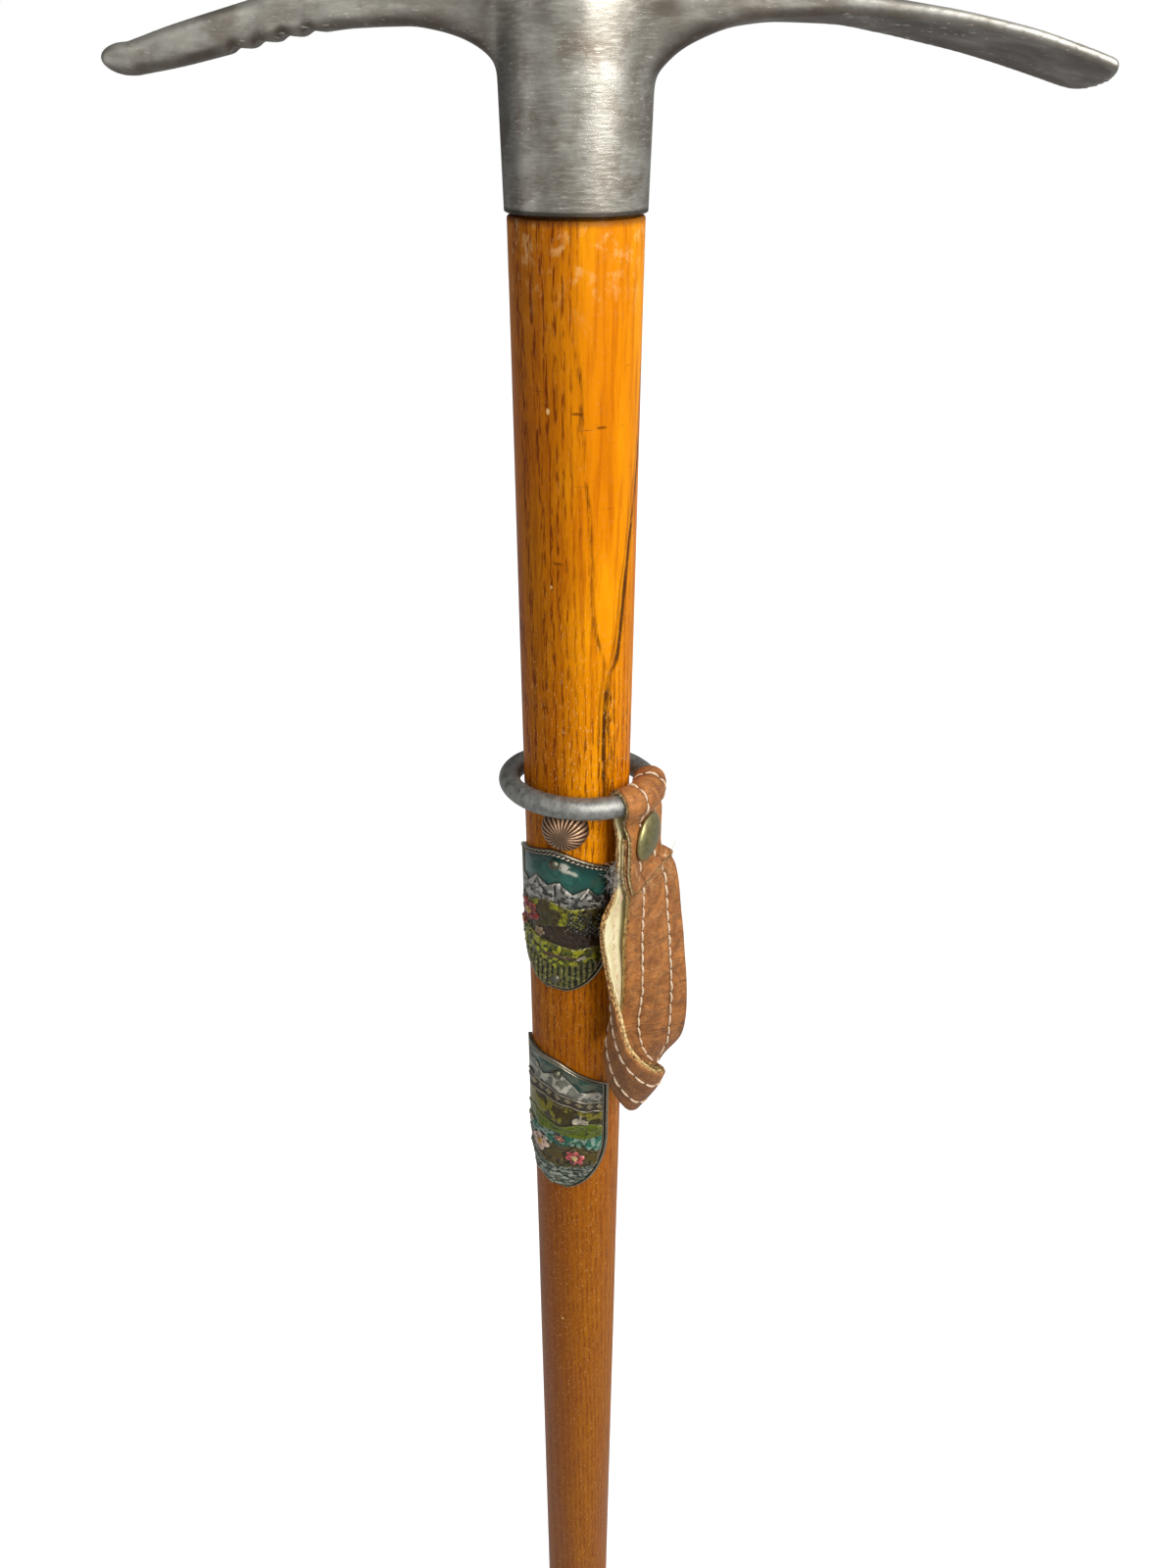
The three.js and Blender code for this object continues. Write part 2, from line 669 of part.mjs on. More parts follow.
// Height of the wire's centre at an azimuth round the tilted ring, in radians.
function wireHeight(azimuth) {
  const fall = RING_R * Math.sin(radians(RING_TILT));
  return RING_Z - fall * Math.cos(azimuth - radians(RING_LOW_AZIMUTH));
}

const WIRE_Z = wireHeight(radians(STRAP_AZIMUTH));

// Takes a piece whose x is out, y is up and z runs along the fold to its place on the ring.
function placeAtFold(geometry) {
  geometry.rotateX(Math.PI / 2);
  geometry.rotateZ(radians(STRAP_AZIMUTH - 90));
  geometry.translate(RING_CENTRE.x, RING_CENTRE.y, 0);
  return geometry;
}

const LAYER_PITCH = FOLD_THICKNESS + FIT;
const INNER_LAYER = 15.4; // middle of the innermost layer at the snap, from the ring's centre
const TAIL_LAYER = INNER_LAYER + LAYER_PITCH;
const FLAP_LAYER = TAIL_LAYER + LAYER_PITCH;

// Path of the strap's end, from the inner leg, over the ring's wire, to the end of the flap.
function foldPath() {
  const bend = RING_WIRE_R + FIT + FOLD_THICKNESS / 2;
  const path = [
    [INNER_LAYER, FOLD_END_Z],
    [INNER_LAYER, SNAP_Z],
    [INNER_LAYER, TAIL_TOP_Z + 0.4],
    [INNER_LAYER - 0.3, TAIL_TOP_Z + 2],
  ];
  const steps = 12;
  for (let i = 0; i <= steps; i++) {
    const a = THREE.MathUtils.lerp(FOLD_ARC[0], FOLD_ARC[1], i / steps);
    path.push([RING_R + bend * Math.cos(radians(a)), WIRE_Z + bend * Math.sin(radians(a))]);
  }
  path.push([FLAP_LAYER, SNAP_Z + SNAP_R + 0.1]);
  path.push([FLAP_LAYER, TAIL_TOP_Z + 0.4]);
  path.push([FLAP_LAYER, SNAP_Z]);
  path.push([FLAP_LAYER, FOLD_END_Z]);
  return path;
}

// Point of the fold: it bends round the ring where it crosses the wire, and lies flat under the snap.
function foldPoint(path, share, side) {
  const i = Math.round(share * (path.length - 1));
  const [out, z] = path[i];
  const over = (side - 0.5) * STRAP_WIDTH;
  const azimuth = radians(STRAP_AZIMUTH) + over / RING_R;
  const round = new THREE.Vector3(Math.sin(azimuth), -Math.cos(azimuth), 0).multiplyScalar(out);
  round.add(RING_CENTRE).setZ(z + wireHeight(azimuth) - WIRE_Z);
  const flat = RING_CENTRE.clone().addScaledVector(FOLD_OUT, out).addScaledVector(FOLD_ACROSS, over);
  flat.setZ(z);
  const bent = THREE.MathUtils.smoothstep(z, TAIL_TOP_Z + 0.4, WIRE_Z - RING_WIRE_R - 0.5);
  return flat.lerp(round, bent);
}

// Hole for the snap's post, through every layer.
function postHole() {
  const hole = new THREE.CylinderGeometry(SNAP_POST_R + FIT, SNAP_POST_R + FIT, 14, 14);
  hole.rotateZ(Math.PI / 2);
  hole.translate(TAIL_LAYER, SNAP_Z, -SNAP_SIDE);
  return placeAtFold(hole);
}

// Strap's end folded over the ring, with the snap's hole through it.
function foldGeometry() {
  const path = foldPath();
  const half = FOLD_THICKNESS / 2;
  const sheet = sheetSolid((u, v) => foldPoint(path, u, v), path.length - 1, 10, -half, half);
  return geometryOf(solid(sheet).subtract(solid(postHole())));
}

// The strap's other end, held between the inner leg and the flap.
function tailGeometry() {
  const half = FOLD_THICKNESS / 2;
  const point = (u, v) =>
    RING_CENTRE.clone()
      .addScaledVector(FOLD_OUT, TAIL_LAYER)
      .addScaledVector(FOLD_ACROSS, (v - 0.5) * STRAP_WIDTH)
      .setZ(THREE.MathUtils.lerp(FOLD_END_Z, TAIL_TOP_Z, u));
  return geometryOf(solid(sheetSolid(point, 1, 1, -half, half)).subtract(solid(postHole())));
}

// Domed cap of the snap with its post.
function snapCapGeometry() {
  const seat = FLAP_LAYER + FOLD_THICKNESS / 2 + FIT;
  const postEnd = INNER_LAYER - FOLD_THICKNESS / 2;
  const profile = [
    [0, postEnd],
    [SNAP_POST_R, postEnd],
    [SNAP_POST_R, seat],
    [SNAP_R - 0.6, seat],
    [SNAP_R, seat + 0.5],
  ];
  for (let i = 1; i <= 6; i++) {
    const t = (i / 6) * (Math.PI / 2);
    profile.push([i === 6 ? 0 : SNAP_R * Math.cos(t), seat + 0.5 + (SNAP_RISE - 0.5) * Math.sin(t)]);
  }
  const cap = new THREE.LatheGeometry(profile.map(([r, y]) => new THREE.Vector2(r, y)), 32);
  cap.rotateZ(-Math.PI / 2);
  cap.translate(0, SNAP_Z, -SNAP_SIDE);
  return placeAtFold(cap);
}

// Flat disc of the snap against the shaft side of the strap.
function snapDiscGeometry() {
  const face = INNER_LAYER - FOLD_THICKNESS / 2 - FIT;
  const disc = new THREE.CylinderGeometry(SOCKET_DISC_R, SOCKET_DISC_R, SOCKET_DISC, 28);
  disc.rotateZ(Math.PI / 2);
  disc.translate(face - SOCKET_DISC / 2, SNAP_Z, -SNAP_SIDE);
  return placeAtFold(disc);
}

// Point at the top of the wrist loop, in a layer of the strap and at one of its edges.
function loopTop(layer, side, z) {
  return RING_CENTRE.clone()
    .addScaledVector(FOLD_OUT, layer)
    .addScaledVector(FOLD_ACROSS, (side * STRAP_WIDTH) / 2)
    .setZ(z)
    .toArray();
}

// Wrist loop, from the inner leg round to the tail: points of one edge of the strap, then of the other.
// Heights count from the top of the loop.
const LOOP_STATIONS = [
  [loopTop(INNER_LAYER - 0.3, -1, 0), loopTop(INNER_LAYER - 0.3, 1, 0)],
  [loopTop(INNER_LAYER - 0.3, -1, -2), loopTop(INNER_LAYER - 0.3, 1, -2)],
  [[9.6, -17.9, -5.2], [18.4, 0, -5.4]],
  [[6.9, -20.5, -11.4], [16.5, -3.1, -12.4]],
  [[7.1, -21.5, -19], [15.4, -4, -22.3]],
  [[8.6, -22.4, -27.8], [14.2, -6.4, -38.8]],
  [[10.4, -23.6, -35.1], [10.4, -13.4, -52.2]],
  [[11.8, -24.9, -40], [8.2, -17.6, -58.4]],
  [[14.2, -28, -47.4], [9.6, -21.4, -65.8]],
  [[18, -29.8, -51.4], [12.4, -23.2, -71]],
  [[21.8, -28.9, -55.2], [15.4, -22.8, -75.2]],
  [[24.1, -25.6, -57.6], [18.2, -18, -76.7]],
  [[23.3, -21.2, -58.4], [20.8, -10, -75.2]],
  [[19.4, -18.7, -59.2], [25.2, -5.2, -70.2]],
  [[15.8, -17.3, -55.6], [29.6, -5.2, -64]],
  [[13, -16.4, -49.8], [30.9, -6.2, -54.8]],
  [[12.9, -15.9, -40.2], [30.9, -5.2, -42.8]],
  [[13, -15.7, -28.8], [29.6, -4, -30.3]],
  [[12.9, -15.7, -18.8], [28.2, -2.4, -19.6]],
  [[13.5, -15.1, -9.8], [26.9, -0.4, -9.8]],
  [[13.4, -16.3, -4.8], [25.3, 0.5, -4.2]],
  [loopTop(TAIL_LAYER + 0.4, -1, -1.6), loopTop(TAIL_LAYER + 0.4, 1, -1.6)],
  [loopTop(TAIL_LAYER + 0.4, -1, 0), loopTop(TAIL_LAYER + 0.4, 1, 0)],
];

// One ply of the wrist loop, between two depths measured outwards from the strap's middle.
function loopPly(from, to) {
  const edgeCurve = (edge) => {
    const points = LOOP_STATIONS.map((station) => {
      const [x, y, height] = station[edge];
      return new THREE.Vector3(x, y, LOOP_TOP_Z + height);
    });
    return new THREE.CatmullRomCurve3(points, false, "catmullrom", 0.5);
  };
  const near = edgeCurve(0);
  const far = edgeCurve(1);
  const point = (u, v) => near.getPoint(u).lerp(far.getPoint(u), v);
  return sheetSolid(point, LOOP_STEPS, 3, from, to);
}

const aluminium = new THREE.MeshStandardMaterial({ color: 0x8f8c88, roughness: 0.42, metalness: 0.9 });
const ash = new THREE.MeshStandardMaterial({ color: 0xb8651c, roughness: 0.3, metalness: 0 });
const steel = new THREE.MeshStandardMaterial({ color: 0x7b7f80, roughness: 0.4, metalness: 0.9 });
const bronze = new THREE.MeshStandardMaterial({ color: 0x5c4a38, roughness: 0.45, metalness: 0.8 });
const enamel = new THREE.MeshStandardMaterial({ color: 0x4f7468, roughness: 0.35, metalness: 0.4 });
const brass = new THREE.MeshStandardMaterial({ color: 0x6f7050, roughness: 0.35, metalness: 0.85 });
const leather = new THREE.MeshStandardMaterial({ color: 0xa4662f, roughness: 0.7, metalness: 0 });
const lining = new THREE.MeshStandardMaterial({ color: 0xd8c07f, roughness: 0.8, metalness: 0 });

function piece(name, geometry, material) {
  const mesh = new THREE.Mesh(geometry, material);
  mesh.name = name;
  return mesh;
}

const stick = new THREE.Group();
stick.add(piece("head", headGeometry(), aluminium));
stick.add(piece("head_pin", headPinGeometry(), steel));
stick.add(piece("shaft", shaftGeometry(), ash));
stick.add(piece("ferrule", ferruleGeometry(), steel));
stick.add(piece("ferrule_pin", ferrulePinGeometry(), steel));
stick.add(piece("spike", spikeGeometry(), steel));

// What faces the front stands a few degrees round from square with the head.
const front = new THREE.Group();
front.rotation.z = radians(FRONT_TURN);
front.add(piece("stop_nail", stopNailGeometry(), bronze));
front.add(piece("badge_upper", badgeGeometry(UPPER_BADGE), enamel));
front.add(piece("badge_lower", badgeGeometry(LOWER_BADGE), enamel));
for (const [label, badge] of [["upper", UPPER_BADGE], ["lower", LOWER_BADGE]]) {
  badgeNailHeights(badge).forEach((z, i) => {
    front.add(piece(`badge_${label}_nail_${i + 1}`, badgeNailGeometry(z), brass));
  });
}

const ring = piece("ring", ringGeometry(), steel);
ring.quaternion.setFromUnitVectors(new THREE.Vector3(0, 0, 1), RING_AXIS);
ring.position.copy(RING_CENTRE);
front.add(ring);

front.add(piece("strap_fold", foldGeometry(), leather));
front.add(piece("strap_tail", tailGeometry(), leather));
front.add(piece("snap_cap", snapCapGeometry(), brass));
front.add(piece("snap_disc", snapDiscGeometry(), brass));
const plies = OUTER_PLY + FIT + LINING_PLY;
front.add(piece("strap_outer", loopPly(plies / 2 - OUTER_PLY, plies / 2), leather));
front.add(piece("strap_lining", loopPly(-plies / 2, LINING_PLY - plies / 2), lining));
stick.add(front);

export default stick;
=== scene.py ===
# %% [markdown]
# # A hiking pick with a wrist strap
#
# The object is a walking stick with a cast aluminium head shaped like an ice axe, a varnished ash
# shaft, two enamelled badges, a loose grey ring on a fluted nail, and a stitched leather wrist strap.
# Each part of this lesson makes one piece or one finish, in the order in which the stick is put
# together: the metal head, the wood, the steel and the ring, the badges and last the leather.
#
# The plain solids of the drawing office are already in the scene, and they move with the joints. Every
# piece made here is shown in place of the plain one, and all but the strap's leather, thread and fibres
# ride on one of their bodies. It can be as fine as the eye wants, and the joints never notice.
#
# Sizes are in millimetres, as on a workshop drawing. They become metres when a mesh is made.

# %% Tools, and the frame that the pieces ride on
import json
import math

import bmesh
import bpy
import numpy as np
from mathutils import Matrix, Vector, noise

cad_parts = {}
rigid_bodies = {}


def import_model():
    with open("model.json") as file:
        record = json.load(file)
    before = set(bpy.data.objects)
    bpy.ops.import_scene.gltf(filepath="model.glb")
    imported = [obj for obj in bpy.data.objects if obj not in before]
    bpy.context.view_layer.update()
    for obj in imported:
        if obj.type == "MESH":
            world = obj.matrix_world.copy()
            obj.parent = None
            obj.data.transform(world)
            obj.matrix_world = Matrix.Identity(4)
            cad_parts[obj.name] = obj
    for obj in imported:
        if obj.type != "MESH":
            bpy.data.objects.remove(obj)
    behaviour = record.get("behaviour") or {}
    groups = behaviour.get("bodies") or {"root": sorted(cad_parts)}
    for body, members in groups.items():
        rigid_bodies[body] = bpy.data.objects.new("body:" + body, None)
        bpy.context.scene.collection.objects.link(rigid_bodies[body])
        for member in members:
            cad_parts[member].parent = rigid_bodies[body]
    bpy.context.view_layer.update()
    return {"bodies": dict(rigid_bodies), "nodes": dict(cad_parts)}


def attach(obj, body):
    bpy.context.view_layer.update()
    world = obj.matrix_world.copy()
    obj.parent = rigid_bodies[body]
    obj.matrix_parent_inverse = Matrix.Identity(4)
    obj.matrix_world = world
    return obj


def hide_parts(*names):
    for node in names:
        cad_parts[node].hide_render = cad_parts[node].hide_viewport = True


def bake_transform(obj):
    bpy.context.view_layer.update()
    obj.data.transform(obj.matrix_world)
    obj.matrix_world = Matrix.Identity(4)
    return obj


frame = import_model()
bodies = sorted(frame["bodies"])
print("bodies:", bodies)
print("nodes:", len(frame["nodes"]))

# %% [markdown]
# ## Sizes shared by the pieces
#
# The shaft tapers from under the head to the ferrule. What faces the front (badges, nail and strap)
# stands five degrees round from square with the head, as a hand-fitted head often does. Several
# pieces need these sizes, so they are kept in one place: when the ring moves, its strap moves too.

# %% Shared sizes
MM = 0.001
FRONT_TURN = math.radians(5)
SHAFT_TOP_Z, SHAFT_TOP_R = -39.6, 14.0
SHAFT_END_Z, SHAFT_END_R = -808.0, 11.5
RING_R, WIRE_R, RING_Z = 18.1, 2.8, -171.9
RING_TILT, RING_LOW = math.radians(7.6), math.radians(161)
STRAP_AZIMUTH = math.radians(65)
FRONT = Matrix.Rotation(FRONT_TURN, 4, "Z")
random = np.random.default_rng(11)


def shaft_radius(z):
    t = (z - SHAFT_TOP_Z) / (SHAFT_END_Z - SHAFT_TOP_Z)
    return SHAFT_TOP_R + (SHAFT_END_R - SHAFT_TOP_R) * t


def smoothstep(low, high, value):
    t = np.clip((value - low) / (high - low), 0, 1)
    return t * t * (3 - 2 * t)


def smooth_curve(xs, ys, x):
    """A smooth line through points, that never overshoots them."""
    xs, ys = np.asarray(xs, float), np.asarray(ys, float)
    step = np.diff(ys) / np.diff(xs)
    slope = np.zeros(len(xs))
    slope[0], slope[-1] = step[0], step[-1]
    same = step[:-1] * step[1:] > 0
    inner = np.zeros(len(xs) - 2)
    inner[same] = 2 * step[:-1][same] * step[1:][same] / (step[:-1] + step[1:])[same]
    slope[1:-1] = inner
    i = np.clip(np.searchsorted(xs, x) - 1, 0, len(xs) - 2)
    h = xs[i + 1] - xs[i]
    t = np.clip((x - xs[i]) / h, 0, 1)
    start = (1 + 2 * t) * (1 - t) ** 2 * ys[i] + t * (1 - t) ** 2 * h * slope[i]
    end = t * t * (3 - 2 * t) * ys[i + 1] + t * t * (t - 1) * h * slope[i + 1]
    return start + end


print("shaft radius at the ring:", round(shaft_radius(RING_Z), 2), "mm")

# %% [markdown]
# ## Making meshes
#
# Most pieces here are either turned on a lathe, or are a grid of points bent to a surface. They
# could be modelled by hand, but points that are worked out from sizes are exact, quick to change and
# the same on every run. A third tool measures how sharply a surface bends, because edges are where
# paint and metal wear and hollows are where dirt stays.

# %% Mesh tools
def add_mesh(name, points, faces, smooth=True):
    """An object from points in millimetres."""
    mesh = bpy.data.meshes.new(name)
    points = np.asarray(points, float).reshape(-1, 3) * MM
    mesh.from_pydata(points.tolist(), [], [list(map(int, f)) for f in faces])
    mesh.validate()
    mesh.polygons.foreach_set("use_smooth", [smooth] * len(mesh.polygons))
    mesh.update()
    obj = bpy.data.objects.new(name, mesh)
    bpy.context.scene.collection.objects.link(obj)
    return obj


def grid_faces(rows, columns, first=0, wrap=False, flip=False):
    """Quads between the points of a grid, numbered row by row."""
    i, j = np.meshgrid(np.arange(rows - 1), np.arange(columns if wrap else columns - 1), indexing="ij")
    a = i * columns + j
    b = i * columns + (j + 1) % columns
    quads = np.stack([a, b, b + columns, a + columns], -1).reshape(-1, 4) + first
    return quads[:, ::-1] if flip else quads


def weld(obj, distance=0.0004):
    """Joins points that lie together, unless the distance is 0, and turns every face outwards."""
    bm = bmesh.new()
    bm.from_mesh(obj.data)
    if distance:
        bmesh.ops.remove_doubles(bm, verts=bm.verts, dist=distance * MM)
    bmesh.ops.recalc_face_normals(bm, faces=bm.faces)
    bm.to_mesh(obj.data)
    bm.free()
    obj.data.update()
    return obj


def turned(name, profile, steps=96, sharp=38):
    """A closed piece turned on the Z axis, from (radius, height) points."""
    profile = np.asarray(profile, float)
    a = np.linspace(0, 2 * np.pi, steps, endpoint=False)
    r, z = profile[:, :1], profile[:, 1:]
    points = np.stack([r * np.sin(a), -r * np.cos(a), z + 0 * a], -1)
    obj = add_mesh(name, points, grid_faces(len(profile), steps, wrap=True))
    weld(obj, 0.004)
    obj.data.set_sharp_from_angle(angle=math.radians(sharp))
    return obj


def face_out(obj, azimuth, z, distance=0.0):
    """Moves a piece that was turned on Z so that it points out of the shaft."""
    turn = Matrix.Rotation(azimuth, 4, "Z") @ Matrix.Rotation(math.pi / 2, 4, "X")
    out = Vector((math.sin(azimuth), -math.cos(azimuth), 0)) * distance
    place = Matrix.Translation((out + Vector((0, 0, z))) * MM)
    obj.data.transform(place @ turn)
    return obj


def at_front(obj):
    obj.data.transform(FRONT)
    return obj


def coordinates(obj):
    co = np.empty(len(obj.data.vertices) * 3)
    obj.data.vertices.foreach_get("co", co)
    return co.reshape(-1, 3) / MM


def set_value(obj, name, values):
    attribute = obj.data.attributes.get(name) or obj.data.attributes.new(name, "FLOAT", "POINT")
    attribute.data.foreach_set("value", np.asarray(values, np.float32).ravel())


def set_colour(obj, name, colours):
    attribute = obj.data.color_attributes.new(name, "FLOAT_COLOR", "POINT")
    rgba = np.ones((len(colours), 4), np.float32)
    rgba[:, :3] = colours
    attribute.data.foreach_set("color", rgba.ravel())


def facing(obj):
    normals = np.empty(len(obj.data.vertices) * 3)
    obj.data.vertices.foreach_get("normal", normals)
    return normals.reshape(-1, 3)


def measure_bend(obj, rounds=3, gain=1.0):
    """Stores how far each point stands proud of its neighbours: above 0 on edges, below 0 in hollows."""
    mesh = obj.data
    co = coordinates(obj)
    edges = np.empty(len(mesh.edges) * 2, int)
    mesh.edges.foreach_get("vertices", edges)
    a, b = edges.reshape(-1, 2).T
    count = np.bincount(a, minlength=len(co)) + np.bincount(b, minlength=len(co))
    count = np.maximum(count, 1)

    def around(values):
        total = np.zeros_like(values)
        np.add.at(total, a, values[b])
        np.add.at(total, b, values[a])
        return total / (count[:, None] if values.ndim > 1 else count)

    proud = ((co - around(co)) * facing(obj)).sum(1)
    for _ in range(rounds):
        proud = 0.5 * proud + 0.5 * around(proud)
    set_value(obj, "bend", proud * gain)
    return obj


print("mesh tools ready")

# %% [markdown]
# ## Making finishes
#
# A finish is a graph of patterns: grain, spots, scratches and wear drive colour, roughness and the
# height of the surface. Pictures could be wrapped round each piece, but a pattern that is worked out
# from the place of a point has no seams and stays sharp from close by. The helper lets patterns add
# and multiply like numbers, so that each finish reads as a recipe: two tones, coats of wear and dirt
# over them, and then the roughness and the relief.

# %% Finish tools
def srgb(red, green, blue):
    """A colour as it looks on a screen, turned to the light values that the renderer uses."""
    c = np.array([red, green, blue]) / 255
    linear = np.where(c <= 0.04045, c / 12.92, ((c + 0.055) / 1.055) ** 2.4)
    return (*[float(v) for v in linear], 1.0)


PER_MM = (1000, 1000, 1000)  # Blender measures a piece in metres


class Pattern:
    """A value that varies over a surface. Patterns add, multiply and subtract like numbers."""

    def __init__(self, graph, socket):
        self.graph, self.socket = graph, socket

    def __add__(self, other):
        return self.graph.math("ADD", self, other)

    def __sub__(self, other):
        return self.graph.math("SUBTRACT", self, other)

    def __rsub__(self, other):
        return self.graph.math("SUBTRACT", other, self)

    def __mul__(self, other):
        return self.graph.math("MULTIPLY", self, other)

    def __truediv__(self, other):
        return self.graph.math("DIVIDE", self, other)

    def __abs__(self):
        return self.graph.math("ABSOLUTE", self)

    def remap(self, low, high, to_low=0.0, to_high=1.0):
        """Eases from one value to another where the pattern runs from low to high."""
        inputs = {"Value": self, "From Min": low, "From Max": high, "To Min": to_low, "To Max": to_high}
        return self.graph.read("MapRange", inputs, interpolation_type="SMOOTHSTEP")


class Graph:
    """Nodes that are made by name and linked as they are made."""

    def __init__(self, owner):
        owner.use_nodes = True
        self.tree = owner.node_tree
        self.tree.nodes.clear()

    def node(self, kind, inputs, **settings):
        made = self.tree.nodes.new("ShaderNode" + kind)
        for key, value in settings.items():
            setattr(made, key, value)
        for key, value in inputs.items():
            self.feed(made.inputs[key], value)
        return made

    def feed(self, socket, value):
        if isinstance(value, Pattern):
            self.tree.links.new(value.socket, socket)
        else:
            socket.default_value = value

    def read(self, kind, inputs, output=0, **settings):
        """Makes a node and gives what comes out of it."""
        return Pattern(self, self.node(kind, inputs, **settings).outputs[output])

    def math(self, operation, a, b=0.0, clamp=False):
        return self.read("Math", {0: a, 1: b}, operation=operation, use_clamp=clamp)

    def larger(self, a, b):
        return self.math("MAXIMUM", a, b)

    def smaller(self, a, b):
        return self.math("MINIMUM", a, b)

    def rays(self, *kinds):
        """Marks what a ray sees that comes straight from the camera, from a mirror, and so on."""
        outputs = self.node("LightPath", {}).outputs
        return [Pattern(self, outputs[f"Is {kind} Ray"]) for kind in kinds]


class Finish(Graph):
    """What a piece is made of: a shader, and the patterns that feed it."""

    def __init__(self, name):
        self.material = bpy.data.materials.new(name)
        super().__init__(self.material)
        self.shader = self.node("BsdfPrincipled", {})
        self.node("OutputMaterial", {0: Pattern(self, self.shader.outputs[0])})

    def set(self, **inputs):
        for key, value in inputs.items():
            self.feed(self.shader.inputs[key.replace("_", " ").title().replace("Ior", "IOR")], value)

    def place(self, scale=PER_MM, turn=(0, 0, 0)):
        """Where a point of the piece is, in millimetres or stretched by another scale."""
        return self.stretch(self.read("TexCoord", {}, "Object"), scale, turn)

    def sheet(self):
        """Where a point is along and across the strap, in millimetres."""
        return self.read("UVMap", {}, "UV", uv_map="sheet")

    def stretch(self, vector, scale, turn=(0, 0, 0)):
        return self.read("Mapping", {"Vector": vector, "Scale": scale, "Rotation": turn})

    def noise(self, where, scale, detail=3.0, roughness=0.55, distortion=0.0):
        """Clouds. The place is a vector, or a scale for the piece's own space."""
        vector = self.place(where) if isinstance(where, tuple) else where
        inputs = {"Vector": vector, "Scale": scale, "Detail": detail, "Roughness": roughness}
        return self.read("TexNoise", {**inputs, "Distortion": distortion})

    def cells(self, where, scale, feature="F1"):
        """Distance from scattered points, or to the borders between them."""
        vector = self.place(where) if isinstance(where, tuple) else where
        return self.read("TexVoronoi", {"Vector": vector, "Scale": scale}, "Distance", feature=feature)

    def mix(self, share, a, b, blend="MIX"):
        return self.read("Mix", {0: share, 6: a, 7: b}, 2, data_type="RGBA", blend_type=blend)

    def coated(self, tone, *coats):
        """Lays colours over a tone, one coat after another. A coat is its share and its colour."""
        for share, colour in coats:
            tone = self.mix(share, tone, srgb(*colour))
        return tone

    def tones(self, share, first, second, *coats):
        """A mix of two screen colours, with coats laid over it."""
        return self.coated(self.mix(share, srgb(*first), srgb(*second)), *coats)

    def value(self, name):
        return self.read("Attribute", {}, "Fac", attribute_name=name)

    def colour(self, name):
        return self.read("Attribute", {}, "Color", attribute_name=name)

    def split(self, vector):
        return [Pattern(self, output) for output in self.node("SeparateXYZ", {0: vector}).outputs]

    def join(self, x, y, z):
        return self.read("CombineXYZ", {0: x, 1: y, 2: z})

    def line(self, value, points):
        """A curve drawn through points, read at a value. Values run from 0 to 1."""
        made = self.node("FloatCurve", {"Factor": 1.0, "Value": value})
        drawn = made.mapping.curves[0].points
        drawn[0].location, drawn[1].location = points[0], points[-1]
        for x, y in points[1:-1]:
            drawn.new(x, y)
        made.mapping.update()
        return Pattern(self, made.outputs[0])

    def relief(self, height, distance, strength=1.0):
        """A height in millimetres, turned to a bent surface."""
        return self.read("Bump", {"Height": height, "Distance": distance * MM, "Strength": strength})


def wear(obj, finish):
    """Gives a piece its finish."""
    obj.data.materials.clear()
    obj.data.materials.append(finish.material)
    return obj


print("finish tools ready")

# %% [markdown]
# ## Cast aluminium
#
# The head was cast in sand, ground and rubbed with cloth. Its surface is a soft grey with cloudy
# patches, small pits, fine scratches, and brighter metal on the edges that hands and rock have
# rubbed. One noise for all of it would look like stone, so every trace has a pattern of its own. The
# scratches run round the socket, where the casting was turned under the cloth, and lengthwise on the
# arms; the pattern changes from one to the other where an arm leaves the socket.

# %% Cast aluminium finish
aluminium = Finish("cast aluminium")
x, y, z = aluminium.split(aluminium.place())
round_socket = aluminium.math("ARCTAN2", x, y * -1)
brushed = aluminium.join(round_socket * 4.0, 0.0, z * 1.7)
socket_scratches = aluminium.noise(brushed, 1.0, 4.0, 0.62, 0.3)
arm_scratches = aluminium.noise(aluminium.place((90, 500, 500), (0, 0.12, 0)), 1.0, 3.0, 0.6)
on_arm = abs(x).remap(13, 19)
scratches = aluminium.mix(on_arm, socket_scratches, arm_scratches)
clouds = aluminium.noise((60, 60, 90), 1.0, 5.0, 0.62, 0.4)
spots = aluminium.noise(PER_MM, 0.9, 3.0, 0.6)
pits = aluminium.cells(PER_MM, 1.1).remap(0.16, 0.05)
edge = aluminium.value("bend").remap(0.012, 0.05) * z.remap(-38.2, -34.5)
hollow = aluminium.value("bend").remap(-0.008, -0.035)
shaded = aluminium.value("under") * clouds.remap(0.34, 0.62, 0.92, 0.62)
nicks = aluminium.noise((500, 500, 2400), 1.0, 2.0, 0.6).remap(0.62, 0.7)
nicks = nicks * aluminium.noise((90, 90, 90), 1.0, 2.0).remap(0.42, 0.6)
tone = aluminium.tones(
    clouds.remap(0.3, 0.7), (134, 129, 119), (180, 177, 168),
    (aluminium.noise((140, 140, 140), 1.0, 3.0).remap(0.48, 0.66, 0, 0.5), (112, 98, 84)),
    (scratches.remap(0.5, 0.66, 0, 0.26), (216, 211, 198)),
    (scratches.remap(0.48, 0.34, 0, 0.24), (92, 88, 80)),
    (spots.remap(0.34, 0.2, 0, 0.35), (84, 77, 70)),
    (hollow * 0.55, (70, 62, 52)),
    (shaded, (80, 68, 58)),
    (nicks * 0.55, (226, 221, 210)),
    (edge * 0.22, (226, 222, 212)),
    # painted shade: the lowest rim of the socket is darkened where it meets the wood
    (z.remap(-37.8, -38.4, 0, 0.85), (58, 50, 42)),
)
rough = clouds.remap(0.3, 0.7, 0.42, 0.34) + on_arm * 0.12
rough = aluminium.mix(edge * 0.3, rough, (0.3, 0.3, 0.3, 1))
height = scratches * 0.45 + spots * 0.35 - pits * 0.25
